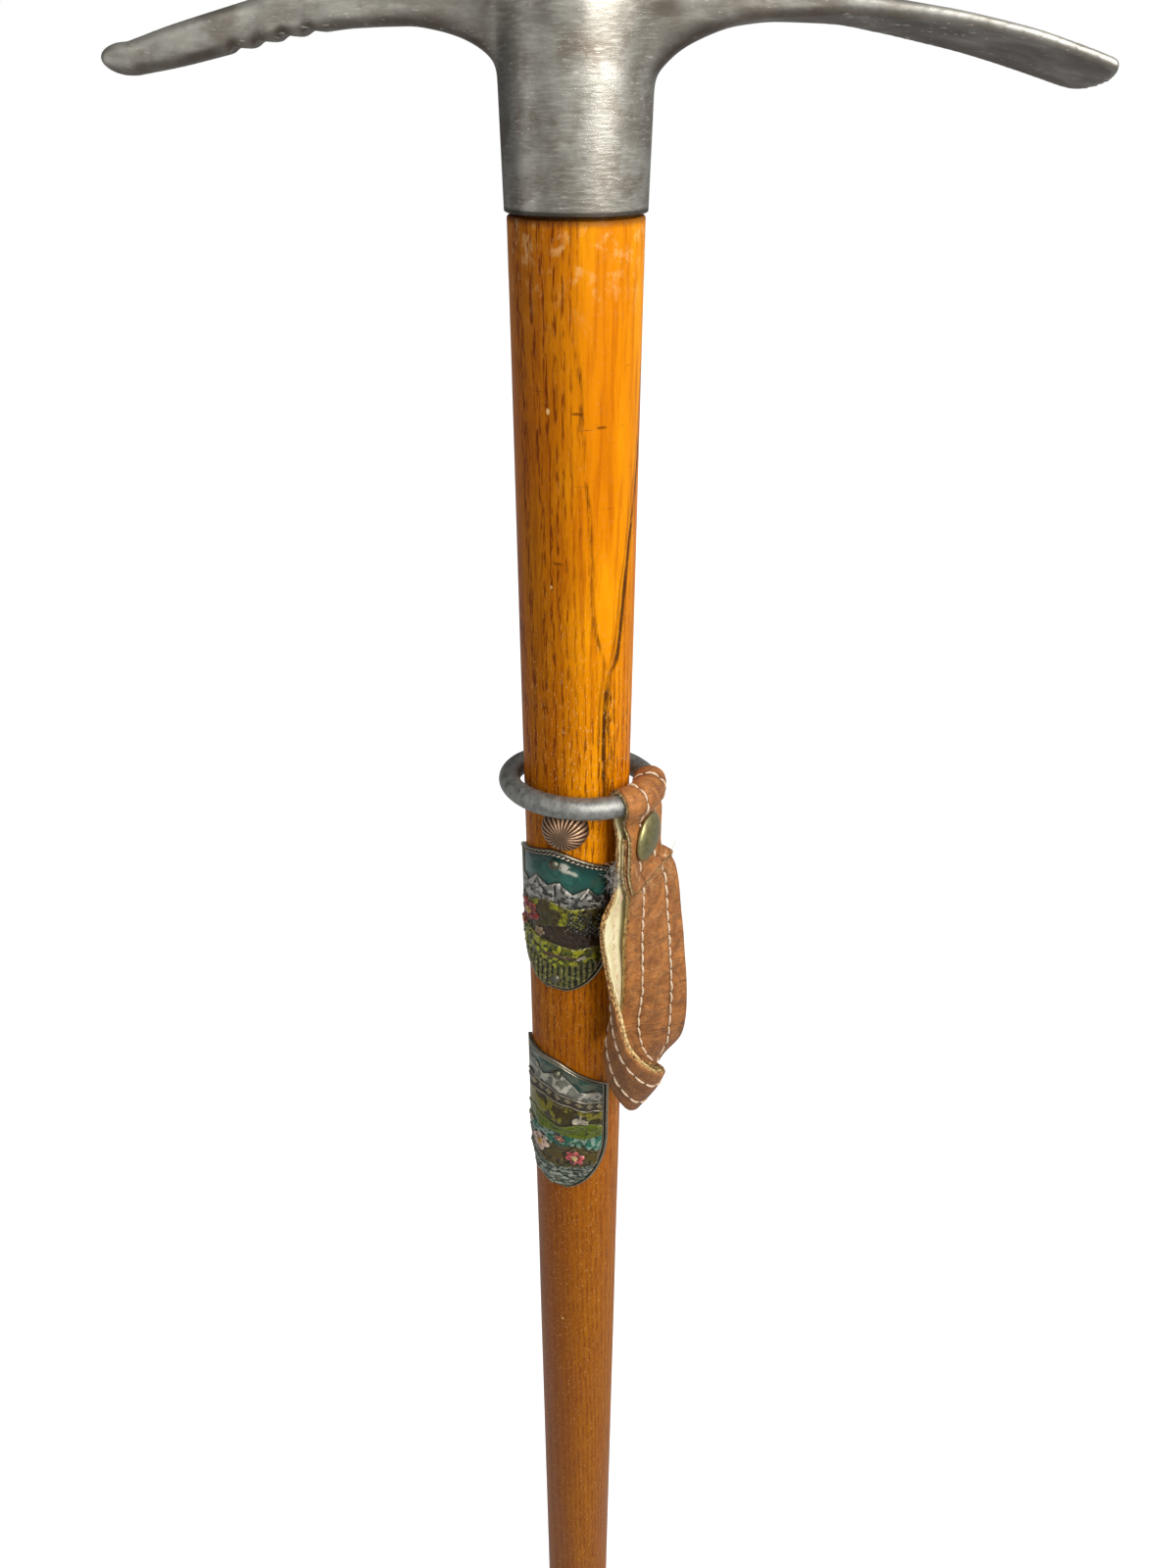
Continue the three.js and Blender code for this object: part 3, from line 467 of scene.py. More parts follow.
aluminium.set(base_color=tone, metallic=0.95, roughness=rough, normal=aluminium.relief(height, 0.11, 0.85))
print("cast aluminium:", len(aluminium.tree.nodes), "nodes")

# %% [markdown]
# ## The head
#
# The casting is one body: a socket with a domed top, a pick that bends down to a blunt point with
# four shallow teeth beneath it, and a broad thin adze that droops and twists a little. The arms
# could be sculpted. Here each is drawn as sections along its length, because a table of reach, top,
# underside and width can be checked against the real thing and changed one number at a time.

# %% Sections of the two arms
# Pick: reach, top, underside, half thickness
PICK = np.array([
    [8, 5.8, -17.4, 12.0], [14.2, 5.3, -14.8, 9.4], [15.6, 5.1, -13.4, 8.8], [16.8, 4.9, -12.3, 8.2],
    [18.8, 4.6, -11.0, 7.5], [22, 4.2, -9.6, 6.7], [27, 3.4, -8.4, 5.8], [32, 2.5, -7.8, 5.3],
    [42, 0.7, -8.1, 4.7], [54, -1.9, -9.7, 4.3], [66, -4.8, -12.1, 4.0], [78, -7.8, -14.6, 3.7],
    [87, -10.4, -16.1, 3.3],
])
PICK_END, PICK_END_Z = 93.0, -13.2
# Adze: reach, top, underside, half width, thickness at the sides, twist in degrees
ADZE = np.array([
    [8, 5.8, -18.6, 12.2, 22, 0], [14.6, 5.2, -16.2, 9.8, 19, 0], [16.2, 5.0, -14.6, 9.0, 16.6, 0],
    [17.6, 4.8, -13.2, 8.5, 14.6, 0], [20, 4.5, -11.4, 7.8, 12.4, 0], [24, 4.0, -9.5, 7.1, 10.6, 0],
    [30, 3.0, -7.6, 6.8, 8.6, 0.5], [38, 1.4, -6.8, 7.2, 6.0, 1.5], [47, -0.9, -6.8, 8.3, 4.0, 3.5],
    [57, -3.6, -7.7, 9.8, 2.9, 6], [68, -6.3, -9.2, 11.5, 2.2, 8], [80, -9.2, -11.7, 13.1, 2.0, 8],
    [90, -12.2, -14.5, 14.3, 2.0, 7], [100, -15.6, -17.6, 15.2, 1.8, 6],
])
ADZE_END, ADZE_EDGE_R = 98.0, 60.0
TOOTH = np.array([[-2.7, 0.0], [-2.2, 0.1], [-0.4, 0.8], [0.5, 0.35], [1.0, 0.0]])


def tucked(reach):
    """How much an arm narrows underneath, where it grows out of the round socket."""
    return float(np.interp(reach, (8, 12, 14.5, 17, 22, 28), (1, 0.82, 0.55, 0.6, 0.82, 1)))


def pick_section(reach):
    """A bar with chamfered corners, that closes to a rounded end."""
    body = min(reach, PICK[-1, 0])
    top, under, half = [float(smooth_curve(PICK[:, 0], PICK[:, i], body)) for i in (1, 2, 3)]
    for k in range(4):
        under += float(np.interp(reach - (51 + 5 * k), TOOTH[:, 0], TOOTH[:, 1]))
    if reach > body:
        t = (reach - body) / (PICK_END - body)
        shrink = math.sqrt(max(1 - t * t, 0.0004))
        middle = (top + under) / 2 + (PICK_END_Z - (top + under) / 2) * t
        rise = (top - under) / 2 * shrink
        top, under, half = middle + rise, middle - rise, half * (0.3 + 0.7 * shrink)
    c = min(1.3, half * 0.45, (top - under) * 0.3)
    low = half * tucked(reach)
    corners = [(low - c, under), (low, under + c), (half, top - c), (half - c, top)]
    corners += [(-a, b) for a, b in reversed(corners)]
    return [(-reach, a, b) for a, b in corners]


def edge_width(reach, half, corner):
    """Half width of the adze at a reach, where its curved edge meets a side in a rounded corner."""
    centre = ADZE_END - ADZE_EDGE_R
    bend_at = centre + math.sqrt((ADZE_EDGE_R - corner) ** 2 - (half - corner) ** 2)
    meets = centre + (bend_at - centre) * ADZE_EDGE_R / (ADZE_EDGE_R - corner)
    if reach <= bend_at:
        return half
    if reach < meets:
        return half - corner + math.sqrt(max(corner**2 - (reach - bend_at) ** 2, 0))
    return max(math.sqrt(max(ADZE_EDGE_R**2 - (reach - centre) ** 2, 0)), 0.1)


def adze_section(reach):
    """Flat below, crowned above, thin at both sides. Its near corner is sharp, the far one worn."""
    top, under, half, side, twist = [float(smooth_curve(ADZE[:, 0], ADZE[:, i], reach)) for i in range(1, 6)]
    side = min(side, top - under)
    c = min(1.0, side * 0.3)
    shoulder = top - (top - under - side) * 0.2

    def edge_of(width):
        inset = width - min(c, width * 0.4)
        low = tucked(reach)
        return [(inset * low, under), (width * low, under + c), (width, under + side - c), (inset, under + side),
                (width * 0.45, shoulder)]

    back, front = edge_of(edge_width(reach, half, 5.0)), edge_of(edge_width(reach, half, 1.5))
    corners = back + [(0.0, top)] + [(-a, b) for a, b in reversed(front)]
    middle = (top + under) / 2
    s, k = math.sin(math.radians(-twist)), math.cos(math.radians(-twist))
    return [(reach, a * k - (b - middle) * s, middle + a * s + (b - middle) * k) for a, b in corners]


def lofted(name, sections):
    count = len(sections[0])
    faces = [list(f) for f in grid_faces(len(sections), count, wrap=True)]
    faces.append(list(range(count)))
    faces.append([len(sections) * count - 1 - i for i in range(count)])
    return weld(add_mesh(name, sections, faces), 0.0001)


pick_reaches = np.concatenate([np.arange(8, 92, 0.5), PICK_END - 1.2 * np.linspace(0.9, 0.02, 8) ** 1.5])
adze_reaches = np.concatenate([np.arange(8, 91, 1.0), np.linspace(91, 97.98, 40)])
pick_arm = lofted("pick", [pick_section(reach) for reach in pick_reaches])
adze_arm = lofted("adze", [adze_section(reach) for reach in adze_reaches])
print("pick faces:", len(pick_arm.data.polygons), " adze faces:", len(adze_arm.data.polygons))

# %% [markdown]
# ### One casting from three bodies
#
# The arms and the socket still touch like three blocks, while a casting has soft inside corners. A
# boolean union would leave hard creases there. Melting the bodies into one skin of small even faces
# and smoothing it gives the fillets, and the skin is smoothed most at the roots of the arms. The
# socket's mouth is cut last, so that its rim stays crisp.

# %% One casting from three bodies
VOXEL = 0.38 * MM
FILLET_ROUNDS = 130
HOLLOW = [(0, -50), (24, -50), (24, -38.5), (15.0, -38.5), (14.35, -39), (12.6, -39), (12.6, -12), (11, -10.5)]
HOLLOW += [(0, -10.5)]
dome = [(15.1 * math.cos(t), -5 + 11 * math.sin(t)) for t in np.linspace(0, math.pi / 2, 16)]
socket = turned("head_casting", [(0, -43), (14.42, -43), (14.6, -39), (15.1, -17)] + dome, 128)


def joined(first, *others):
    bm = bmesh.new()
    for obj in (first, *others):
        bm.from_mesh(obj.data)
    bm.to_mesh(first.data)
    bm.free()
    for obj in others:
        bpy.data.objects.remove(obj)
    return first


def bake_modifiers(obj):
    bpy.context.view_layer.update()
    shaped = obj.evaluated_get(bpy.context.evaluated_depsgraph_get())
    obj.data = bpy.data.meshes.new_from_object(shaped)
    obj.modifiers.clear()
    return obj


head = joined(socket, pick_arm, adze_arm)
melt = head.modifiers.new("melt", "REMESH")
melt.mode = "VOXEL"
melt.voxel_size = VOXEL
ease = head.modifiers.new("ease", "SMOOTH")
ease.factor, ease.iterations = 0.5, 16
bake_modifiers(head)
where = np.abs(coordinates(head)[:, 0])
root = smoothstep(2, 7, where) * smoothstep(34, 22, where)
group = head.vertex_groups.new(name="root")
for share in np.arange(0.1, 1.01, 0.1):
    inside = np.nonzero((root > share - 0.1) & (root <= share))[0]
    group.add(inside.tolist(), float(share), "REPLACE")
blend_roots = head.modifiers.new("fillet", "SMOOTH")
blend_roots.factor, blend_roots.iterations, blend_roots.vertex_group = 0.5, FILLET_ROUNDS, "root"
bake_modifiers(head)
mouth = turned("mouth", HOLLOW, 128)
cut = head.modifiers.new("cut", "BOOLEAN")
cut.operation, cut.object, cut.solver = "DIFFERENCE", mouth, "EXACT"
bake_modifiers(head)
bpy.data.objects.remove(mouth)
head.data.polygons.foreach_set("use_smooth", [True] * len(head.data.polygons))
head.data.set_sharp_from_angle(angle=math.radians(40))
measure_bend(head, 26, 2.6)
set_value(head, "under", smoothstep(0.1, -0.7, facing(head)[:, 2]))
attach(wear(head, aluminium), "stick")
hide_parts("head")
print("head faces:", len(head.data.polygons), " lowest:", round(coordinates(head)[:, 2].min(), 2))

# %% [markdown]
# ## Varnished ash
#
# Ash has wide plain bands and narrow bands of open pores, which a stain fills with brown. On a
# round stick the bands show as long streaks of short dashes, and where the grain runs out of the
# stick they meet in a pointed figure. A wood texture of rings would not show that figure, so the
# bands come from a slanting plane through the stick, and the figure is drawn with two curves that
# meet. An amber varnish lies over the wood. It has worn pale under the head and has small chips.

# %% Varnished ash finish
ash = Finish("varnished ash")
x, y, z = ash.split(ash.place())
angle = ash.math("ARCTAN2", x, y * -1) - FRONT_TURN
drift = (ash.noise((60, 60, 6), 1.0, 3.0) - 0.5) * 5.0
across = x * 0.93 + y * 0.36 + drift + z * 0.012
band = ash.math("FRACT", across / 1.6)
pore_band = band.remap(0.05, 0.3) * band.remap(0.75, 0.45)
dashes = ash.noise((2500, 2500, 230), 1.0, 2.0, 0.55)
pores = pore_band.remap(0.0, 1.0, 0.25, 1.0) * dashes.remap(0.46, 0.57)
fine = ash.noise((700, 700, 50), 1.0, 4.0, 0.62)
broad = ash.noise((55, 55, 12), 1.0, 3.0, 0.5, 0.6)
left = angle.remap(0.5, -0.6)

# The pointed figure: two lines that meet, plain wood between them, and a dark streak beneath
down = ash.math("DIVIDE", -60.0 - z, 120.0, True)
wobble = (ash.noise((200, 200, 60), 1.0, 3.0) - 0.5) * 0.06
turn = angle / 2.0 + wobble
left_line = ash.line(down, [(0.0, 0.0), (0.18, 0.06), (0.37, 0.12), (0.53, 0.15), (0.64, 0.28), (1.0, 0.3)])
right_line = ash.line(down, [(0.0, 0.78), (0.18, 0.68), (0.41, 0.5), (0.61, 0.375), (0.65, 0.29), (1.0, 0.3)])
from_left, from_right = turn - left_line, right_line - turn
near_left, near_right = abs(from_left), abs(from_right)
between_lines = from_left.remap(0.0, 0.03) * from_right.remap(0.0, 0.03) * z.remap(-142, -132)
streaky = ash.larger(left.remap(0.2, 0.9, 0.35, 1.0), z.remap(-118, -160, 0.0, 0.85))
pores = pores * between_lines.remap(0, 1, 1.0, 0.1) * streaky
thin = ash.noise((400, 400, 160), 1.0, 2.0).remap(0.36, 0.6, 0.45, 1.0)
figure = near_left.remap(0.03, 0.004) * dashes.remap(0.38, 0.56, 0.15, 0.7)
figure = ash.larger(figure, near_right.remap(0.042, 0.008))
second = abs(from_right - 0.055)
figure = ash.larger(figure, second.remap(0.02, 0.004) * 0.5)
streak = near_left.remap(0.09, 0.01) * down.remap(0.6, 0.68) * dashes.remap(0.4, 0.56)
figure = ash.larger(figure, streak) * thin
figure = figure * (z.remap(-178, -165) * z.remap(-50, -70))

# Wear and dirt: paler under the head, dark rubbed lines, chips, and three short marks
worn = ash.noise((420, 420, 300), 1.0, 4.0, 0.65).remap(0.5, 0.68) * z.remap(-64, -41)
flecks = ash.noise((2400, 2400, 900), 1.0, 2.0, 0.5).remap(0.6, 0.7) * z.remap(-110, -150, 0.2, 0.9)
chips = ash.cells((90, 90, 60), 1.0).remap(0.05, 0.03)
pale = ash.larger(worn * 0.42, chips * 0.75)
rubs = ash.noise((110, 110, 1500), 1.0, 3.0, 0.6).remap(0.68, 0.74)
rubs = rubs * (z.remap(-62, -70) * z.remap(-125, -110))
marks = 0.0
for mark_turn, mark_z in ((0.02, -75.9), (0.4, -78.7), (-0.3, -108.5)):
    off, aside = abs(z - mark_z + wobble * 16.0), abs(angle - mark_turn)
    marks = ash.larger(marks, off.remap(0.42, 0.12) * aside.remap(0.11, 0.04))
tone = ash.tones(
    broad.remap(0.35, 0.68), (217, 126, 1), (243, 156, 4),
    (fine.remap(0.42, 0.68, 0, 0.55), (172, 84, 2)),
    # painted shade: the left side of the stick, away from the window, is darker
    (left.remap(0.1, 1.0, 0, 0.6), (140, 70, 4)),
    (pore_band * between_lines.remap(0, 1, 0.22, 0.0), (168, 86, 4)),
    (pores * 0.84, (98, 34, 3)),
    (figure * 0.92, (54, 22, 4)),
    # painted shade: darker towards the bottom, where the light falls off
    (z.remap(-176, -330) * 0.7, (136, 72, 14)),
    (ash.larger(pale, flecks * 0.36), (240, 196, 130)),
    (rubs * 0.6, (96, 50, 10)),
    (marks * 0.7, (74, 36, 6)),
    # painted shade: a dark band on the wood just below the socket's rim
    (z.remap(-41.3, -39.8) * 0.7, (66, 34, 16)),
)
height = fine * 0.35 - pores * 0.5 - figure * 0.5 - pale * 0.25
rough = ash.mix(pale, broad.remap(0.3, 0.7, 0.34, 0.46), (0.7, 0.7, 0.7, 1))
ash.set(base_color=tone, roughness=rough, normal=ash.relief(height, 0.12, 0.5), specular_ior_level=0.07)
print("varnished ash:", len(ash.tree.nodes), "nodes")

# %% [markdown]
# ## The shaft
#
# A stick is turned round but never perfectly: its outline drifts by a few hundredths of a
# millimetre. A plain cone would show that it is not wood as soon as light runs along it, so the
# profile has nearly four hundred points that follow a slow noise. It ends in a tenon inside the
# socket and another inside the ferrule.

# %% Shaft
heights = np.concatenate([[-39.6, -39.75, -40.1, -40.8], np.linspace(-42, -807.0, 380), [-807.6, -807.75]])
drift = [1 + 0.004 * noise.noise(Vector((0.3, 1.7, h * 0.02))) for h in heights]
body = [[shaft_radius(h) * d, h] for h, d in zip(heights, drift)]
body[0][0] -= 0.55
body[1][0] -= 0.2
body[-1][0] -= 0.3
profile = [(0, -12), (12.2, -12), (12.2, -39.6)] + body + [(10.0, -807.75), (8.0, -846), (0, -846)]
shaft = turned("shaft_wood", profile[::-1], 112, 60)
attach(wear(shaft, ash), "stick")
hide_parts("shaft")
print("shaft faces:", len(shaft.data.polygons))

# %% [markdown]
# ## Steel at the foot
#
# The fittings at the foot are bare steel, rubbed bright and scratched by stones, with brown stain
# where water stood. The brightness follows the edges and grows towards the point. A metal shader
# with an even roughness would look new, so the same spots that stain the steel also dull it.

# %% Bare steel finish
steel = Finish("worn steel")
spots = steel.noise(PER_MM, 0.35, 5.0, 0.62, 0.5)
fine = steel.noise((900, 900, 140), 1.0, 5.0, 0.7)
foot = steel.split(steel.place())[2].remap(-845, -872)
edge = steel.value("bend").remap(0.004, 0.03)
tone = steel.tones(
    spots.remap(0.35, 0.6), (150, 150, 148), (112, 112, 110),
    (spots.remap(0.52, 0.68) * 0.45, (104, 78, 54)),
    (steel.larger(edge * 0.7, foot * 0.35), (206, 204, 198)),
)
rough = spots.remap(0.35, 0.7, 0.3, 0.58)
height = fine * 0.5 + spots * 0.5
steel.set(base_color=tone, metallic=0.95, roughness=rough, normal=steel.relief(height, 0.1, 0.5))
print("worn steel:", len(steel.tree.nodes), "nodes")

# %% [markdown]
# ### Ferrule, spike and pins
#
# The ferrule is a thin tapering cup with two rolled grooves, the spike has a flange, and a small
# pin at the back holds the ferrule, as a longer one holds the head. All of them are turned parts,
# so each is a profile and a turn. The grooves could be cut afterwards; as dips in the profile they
# stay round and cost nothing.

# %% Ferrule, spike and pins
CUP_FOOT_R, CUP_MOUTH_R, CUP_FOOT_Z, CUP_LENGTH = 9.4, 11.7, -850, 42
GROOVES = ((-813.2, 0.7), (-845.0, 0.8))
GROOVE_DEPTH = 0.22
PIN_Z = -817


def ferrule_radius(z):
    return CUP_FOOT_R + (CUP_MOUTH_R - CUP_FOOT_R) * (z - CUP_FOOT_Z) / CUP_LENGTH


cup = [(2.9, -848.6), (2.9, CUP_FOOT_Z), (8.5, CUP_FOOT_Z), (9.05, -849.75), (9.3, -849.3)]
for z in np.linspace(-848.8, -808.6, 90):
    groove = sum(GROOVE_DEPTH * math.exp(-(((z - at) / wide) ** 2)) for at, wide in GROOVES)
    cup.append((ferrule_radius(z) - groove, z))
cup += [(11.62, -808.2), (11.4, -808), (10.6, -808), (10.5, -812), (8.45, -848.6), (2.9, -848.6)]
ferrule = turned("ferrule_cup", cup)
measure_bend(ferrule, 1)
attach(wear(ferrule, steel), "stick")
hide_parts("ferrule")

point = [(0, -874), (0.9, -873.95), (1.5, -873.4)]
point += [(1.5 + 2.7 * t**0.9, -873.4 + 14.2 * t) for t in np.linspace(0.06, 1, 12)]
point += [(4.2, -852.8), (4.45, -852.35), (5.9, -852.1), (6.2, -851.8), (6.2, -850.7), (5.9, -850.35)]
point += [(2.6, -850.3), (2.6, -823), (0.8, -820.2), (0, -820)]
spike = turned("spike_point", point, 64)
measure_bend(spike, 1)
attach(wear(spike, steel), "stick")
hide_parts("spike")

rivet = [(0, 0.95), (0.9, 0.85), (1.5, 0.55), (1.78, 0.1), (1.8, 0), (0.9, 0), (0.9, -6.2), (0, -6.2)]
ferrule_pin = face_out(turned("ferrule_rivet", rivet, 32), math.pi, PIN_Z, ferrule_radius(PIN_Z) + 0.05)
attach(wear(ferrule_pin, steel), "stick")
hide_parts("ferrule_pin")
peened = [(0, 0.05), (1.0, 0.0), (1.45, -0.12), (1.6, -0.4), (1.6, -21.6), (1.2, -22), (0, -22)]
head_pin = face_out(turned("head_rivet", peened, 32), math.pi, -27, 14.95)
for obj in (ferrule_pin, head_pin):
    measure_bend(obj, 1)
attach(wear(head_pin, steel), "stick")
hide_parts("head_pin")
print("foot lies at", round(coordinates(spike)[:, 2].min(), 2), "mm")

# %% [markdown]
# ## The loose ring
#
# The ring is dipped in zinc, which freezes in mottled grey patches with small pits. A brushed
# steel finish would be too bright and too even. Zinc is a dull metal, so its colour changes more
# than its shine: large patches make the tone, small cells make the grain, and the pits are drawn
# dark and sunk.

# %% Galvanised ring finish
zinc = Finish("galvanised ring")
patches = zinc.noise(PER_MM, 0.55, 5.0, 0.6, 0.6)
grains = zinc.cells(PER_MM, 1.6)
pits = zinc.cells(PER_MM, 2.4).remap(0.2, 0.06)
tone = zinc.tones(
    patches.remap(0.34, 0.66), (114, 115, 111), (150, 149, 143),
    (grains.remap(0.3, 0.75, 0, 0.16), (176, 175, 171)),
    (pits * 0.75, (50, 49, 47)),
)
rough = patches.remap(0.3, 0.7, 0.42, 0.56)
height = patches + grains * 0.25 - pits * 0.35
zinc.set(base_color=tone, metallic=0.72, roughness=rough, normal=zinc.relief(height, 0.1, 0.5))
print("galvanised ring:", len(zinc.tree.nodes), "nodes")

# %% [markdown]
# ### The wire
#
# The ring is bent from thick wire and welded. A torus would be too perfect: the wire here swells and
# thins by a hundredth, and has a bead at the weld. It leans backwards, because the nail holds it up
# at the front only.

# %% Ring
around, section = 180, 28
a = np.linspace(0, 2 * np.pi, around, endpoint=False)[:, None]
b = np.linspace(0, 2 * np.pi, section, endpoint=False)[None, :]
thick = WIRE_R * (1 + 0.012 * np.sin(3 * a + 0.5) + 0.01 * np.sin(7 * a + 2 * b))
thick = thick * (1 + 0.05 * np.exp(-(((a - 1.9) / 0.06) ** 2)))
reach = RING_R + thick * np.cos(b)
points = np.stack([reach * np.cos(a), reach * np.sin(a), thick * np.sin(b)], -1)
faces = list(grid_faces(around, section, wrap=True))
last = (around - 1) * section
faces += [(last + j, last + (j + 1) % section, (j + 1) % section, j) for j in range(section)]
ring = weld(add_mesh("ring_wire", points, faces))
slope = math.sin(RING_TILT)
axis = Vector((slope * math.sin(RING_LOW), -slope * math.cos(RING_LOW), math.cos(RING_TILT)))
fold_out = np.array([math.sin(STRAP_AZIMUTH), -math.cos(STRAP_AZIMUTH), 0.0])
fold_across = np.array([-fold_out[1], fold_out[0], 0.0])
ring_centre = fold_out * 0.8 + np.array([0, 0, RING_Z])
lean = Vector((0, 0, 1)).rotation_difference(axis).to_matrix().to_4x4()
ring.data.transform(Matrix.Translation(Vector(ring_centre) * MM) @ lean)
at_front(ring)
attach(wear(ring, zinc), "ring")
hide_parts("ring")
print("ring faces:", len(ring.data.polygons))

# %% [markdown]
# ## The fluted nail
#
# An upholstery nail with a domed head keeps the ring from sliding down. Flutes run out from its
# crown. They could be cut one by one, but a wave round the dome makes all of them at once and fades
# where they meet. The bronze is dark in the flutes and rubbed lighter on the ridges, which the
# measure of bend finds by itself.

# %% Bronze finish and the nail
bronze = Finish("old bronze")
spots = bronze.noise(PER_MM, 0.9, 4.0, 0.6)
ridge = bronze.value("bend").remap(-0.004, 0.02)
tone = bronze.tones(
    ridge, (56, 41, 29), (180, 144, 114),
    (spots.remap(0.55, 0.7, 0, 0.5), (96, 88, 74)),
)
rough = spots.remap(0.3, 0.7, 0.38, 0.55)
bronze.set(base_color=tone, metallic=0.9, roughness=rough, normal=bronze.relief(spots, 0.08, 0.5))

NAIL_R, NAIL_RISE, NAIL_Z = 6.1, 5.2, -178.2
flutes, around, rows = 24, 192, 28
t = np.linspace(0, np.pi / 2, rows)[:, None]
a = np.linspace(0, 2 * np.pi, around, endpoint=False)[None, :]
wave = (0.5 - 0.5 * np.cos(flutes * a)) ** 2
depth = 0.42 * np.sin(np.clip(t * 1.6, 0, np.pi)) * wave * smoothstep(0.1, 0.45, t)
r = NAIL_R * np.sin(t) - depth * 0.4
h = NAIL_RISE * np.cos(t) - depth * 0.8 * np.cos(t) ** 0.4
dome = np.stack([r * np.cos(a), r * np.sin(a), np.maximum(h, 0)], -1)
rim = np.stack([NAIL_R * np.cos(a[0]), NAIL_R * np.sin(a[0]), np.full(around, -0.25)], -1)
points = np.concatenate([dome.reshape(-1, 3), rim])
faces = [list(f) for f in grid_faces(rows + 1, around, wrap=True, flip=True)]
faces.append(list(range(rows * around, (rows + 1) * around)))
stop_nail = add_mesh("nail_dome", points, faces)
weld(stop_nail, 0.002)
shank = turned("nail_shank", [(0, -9), (0.5, -9), (1.1, -7.5), (1.1, 0.2), (0, 0.2)], 16)
stop_nail = joined(stop_nail, shank)
measure_bend(stop_nail, 1)
face_out(stop_nail, math.radians(-11.5) + FRONT_TURN, NAIL_Z, shaft_radius(NAIL_Z) + 0.25)
stop_nail.data.polygons.foreach_set("use_smooth", [True] * len(stop_nail.data.polygons))
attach(wear(stop_nail, bronze), "stick")
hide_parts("stop_nail")
print("nail faces:", len(stop_nail.data.polygons))

# %% [markdown]
# ## Stamped and enamelled badges
#
# A souvenir badge is thin sheet, pressed between two dies so that its picture stands in relief,
# then plated, and painted with thin enamel that is wiped off the high lines. The relief could be
# faked with bump, but then the badge would be flat when seen from the side. Here the die is a
# drawing, and every shape in it adds some height and a colour. The two pictures are inventions:
# snowy peaks over an alp with a wild rose, and a valley with a lake and star-shaped flowers. They
# have no lettering.

# %% Drawing tools for the dies
SILVER = srgb(150, 146, 132)[:3]
PLAIN = 0.75  # height of the sheet where nothing is drawn


class Die:
    """A picture in relief: height, colour and bare metal over a grid of points."""

    def __init__(self, badge, rows, columns):
        self.badge = badge
        share = np.linspace(0, 1, rows)[:, None] + np.zeros((1, columns))
        side = np.zeros((rows, 1)) + np.linspace(-1, 1, columns)[None, :]
        t = np.clip(1 - share / 0.42, 0, 1)
        half = badge["width"] / 2 * np.sqrt(np.maximum(1 - t * t, 0.03))
        self.along = side * half
        drop = badge["arch"] * (np.hypot(side, 0.15) - 0.15) + badge["lean"] * side
        self.z = badge["top"] - badge["height"] * (1 - share) - drop * share * share
        self.up = badge["height"] * share
        self.down = badge["height"] * (1 - share)
        self.edge = np.minimum(half - np.abs(self.along), np.minimum(self.up + 0.6, self.down))
        self.half = half
        self.height = np.full(share.shape, PLAIN)
        self.colour = np.zeros(share.shape + (3,)) + SILVER
        self.metal = np.zeros(share.shape)
        self.swell = np.zeros(share.shape)

    def paint(self, mask, colour, rise=0.0, metal=0.0):
        mask = np.clip(mask, 0, 1)
        keep = mask[..., None]
        self.colour = self.colour * (1 - keep) + np.array(srgb(*colour)[:3]) * keep
        self.metal = self.metal * (1 - mask) + metal * mask
        self.height = self.height + rise * mask
        return self

    def disc(self, x, up, radius, soft=0.12):
        away = np.hypot(self.along - x, self.up - up)
        return smoothstep(radius + soft, radius - soft, away)

    def stroke(self, x0, up0, x1, up1, width, soft=0.12):
        dx, dy = x1 - x0, up1 - up0
        t = np.clip(((self.along - x0) * dx + (self.up - up0) * dy) / (dx * dx + dy * dy), 0, 1)
        away = np.hypot(self.along - x0 - t * dx, self.up - up0 - t * dy)
        return smoothstep(width / 2 + soft, width / 2 - soft, away)

    def below(self, line, soft=0.15):
        xs, ups = zip(*line)
        return smoothstep(soft, -soft, self.up - np.interp(self.along, xs, ups))

    def hill(self, line, colour, rise=0.0, metal=0.0, share=1.0):
        """Paints what lies below a line, or a share of it."""
        return self.paint(self.below(line) * share, colour, rise, metal)

    def grain(self, scale, seed, octaves=3):
        """Soft random blotches between 0 and 1."""
        total, weight = np.zeros(self.up.shape), 0.0
        for o in range(octaves):
            f = scale * 2**o
            pick = np.random.default_rng(seed + o)
            table = pick.random((64, 64))
            gx, gy = (self.along + 40) * f, (self.up + 5) * f
            ix, iy = np.floor(gx).astype(int), np.floor(gy).astype(int)
            fx, fy = smoothstep(0, 1, gx - ix), smoothstep(0, 1, gy - iy)

            def at(p, q):
                return table[(iy + q) % 64, (ix + p) % 64]

            low = at(0, 0) * (1 - fx) + at(1, 0) * fx
            high = at(0, 1) * (1 - fx) + at(1, 1) * fx
            total += (low * (1 - fy) + high * fy) / 2**o
            weight += 1 / 2**o
        return total / weight

    def flower(self, x, up, radius, petals, colour, heart, seed=0.0):
        dx, dy = self.along - x, self.up - up
        away, turn = np.hypot(dx, dy), np.arctan2(dy, dx) + seed
        reach = radius * (0.62 + 0.38 * np.abs(np.cos(petals * turn / 2)))
        self.paint(smoothstep(reach + 0.12, reach - 0.12, away), colour, 0.22)
        self.paint(self.disc(x, up, radius * 0.3), heart, 0.12)
        return self


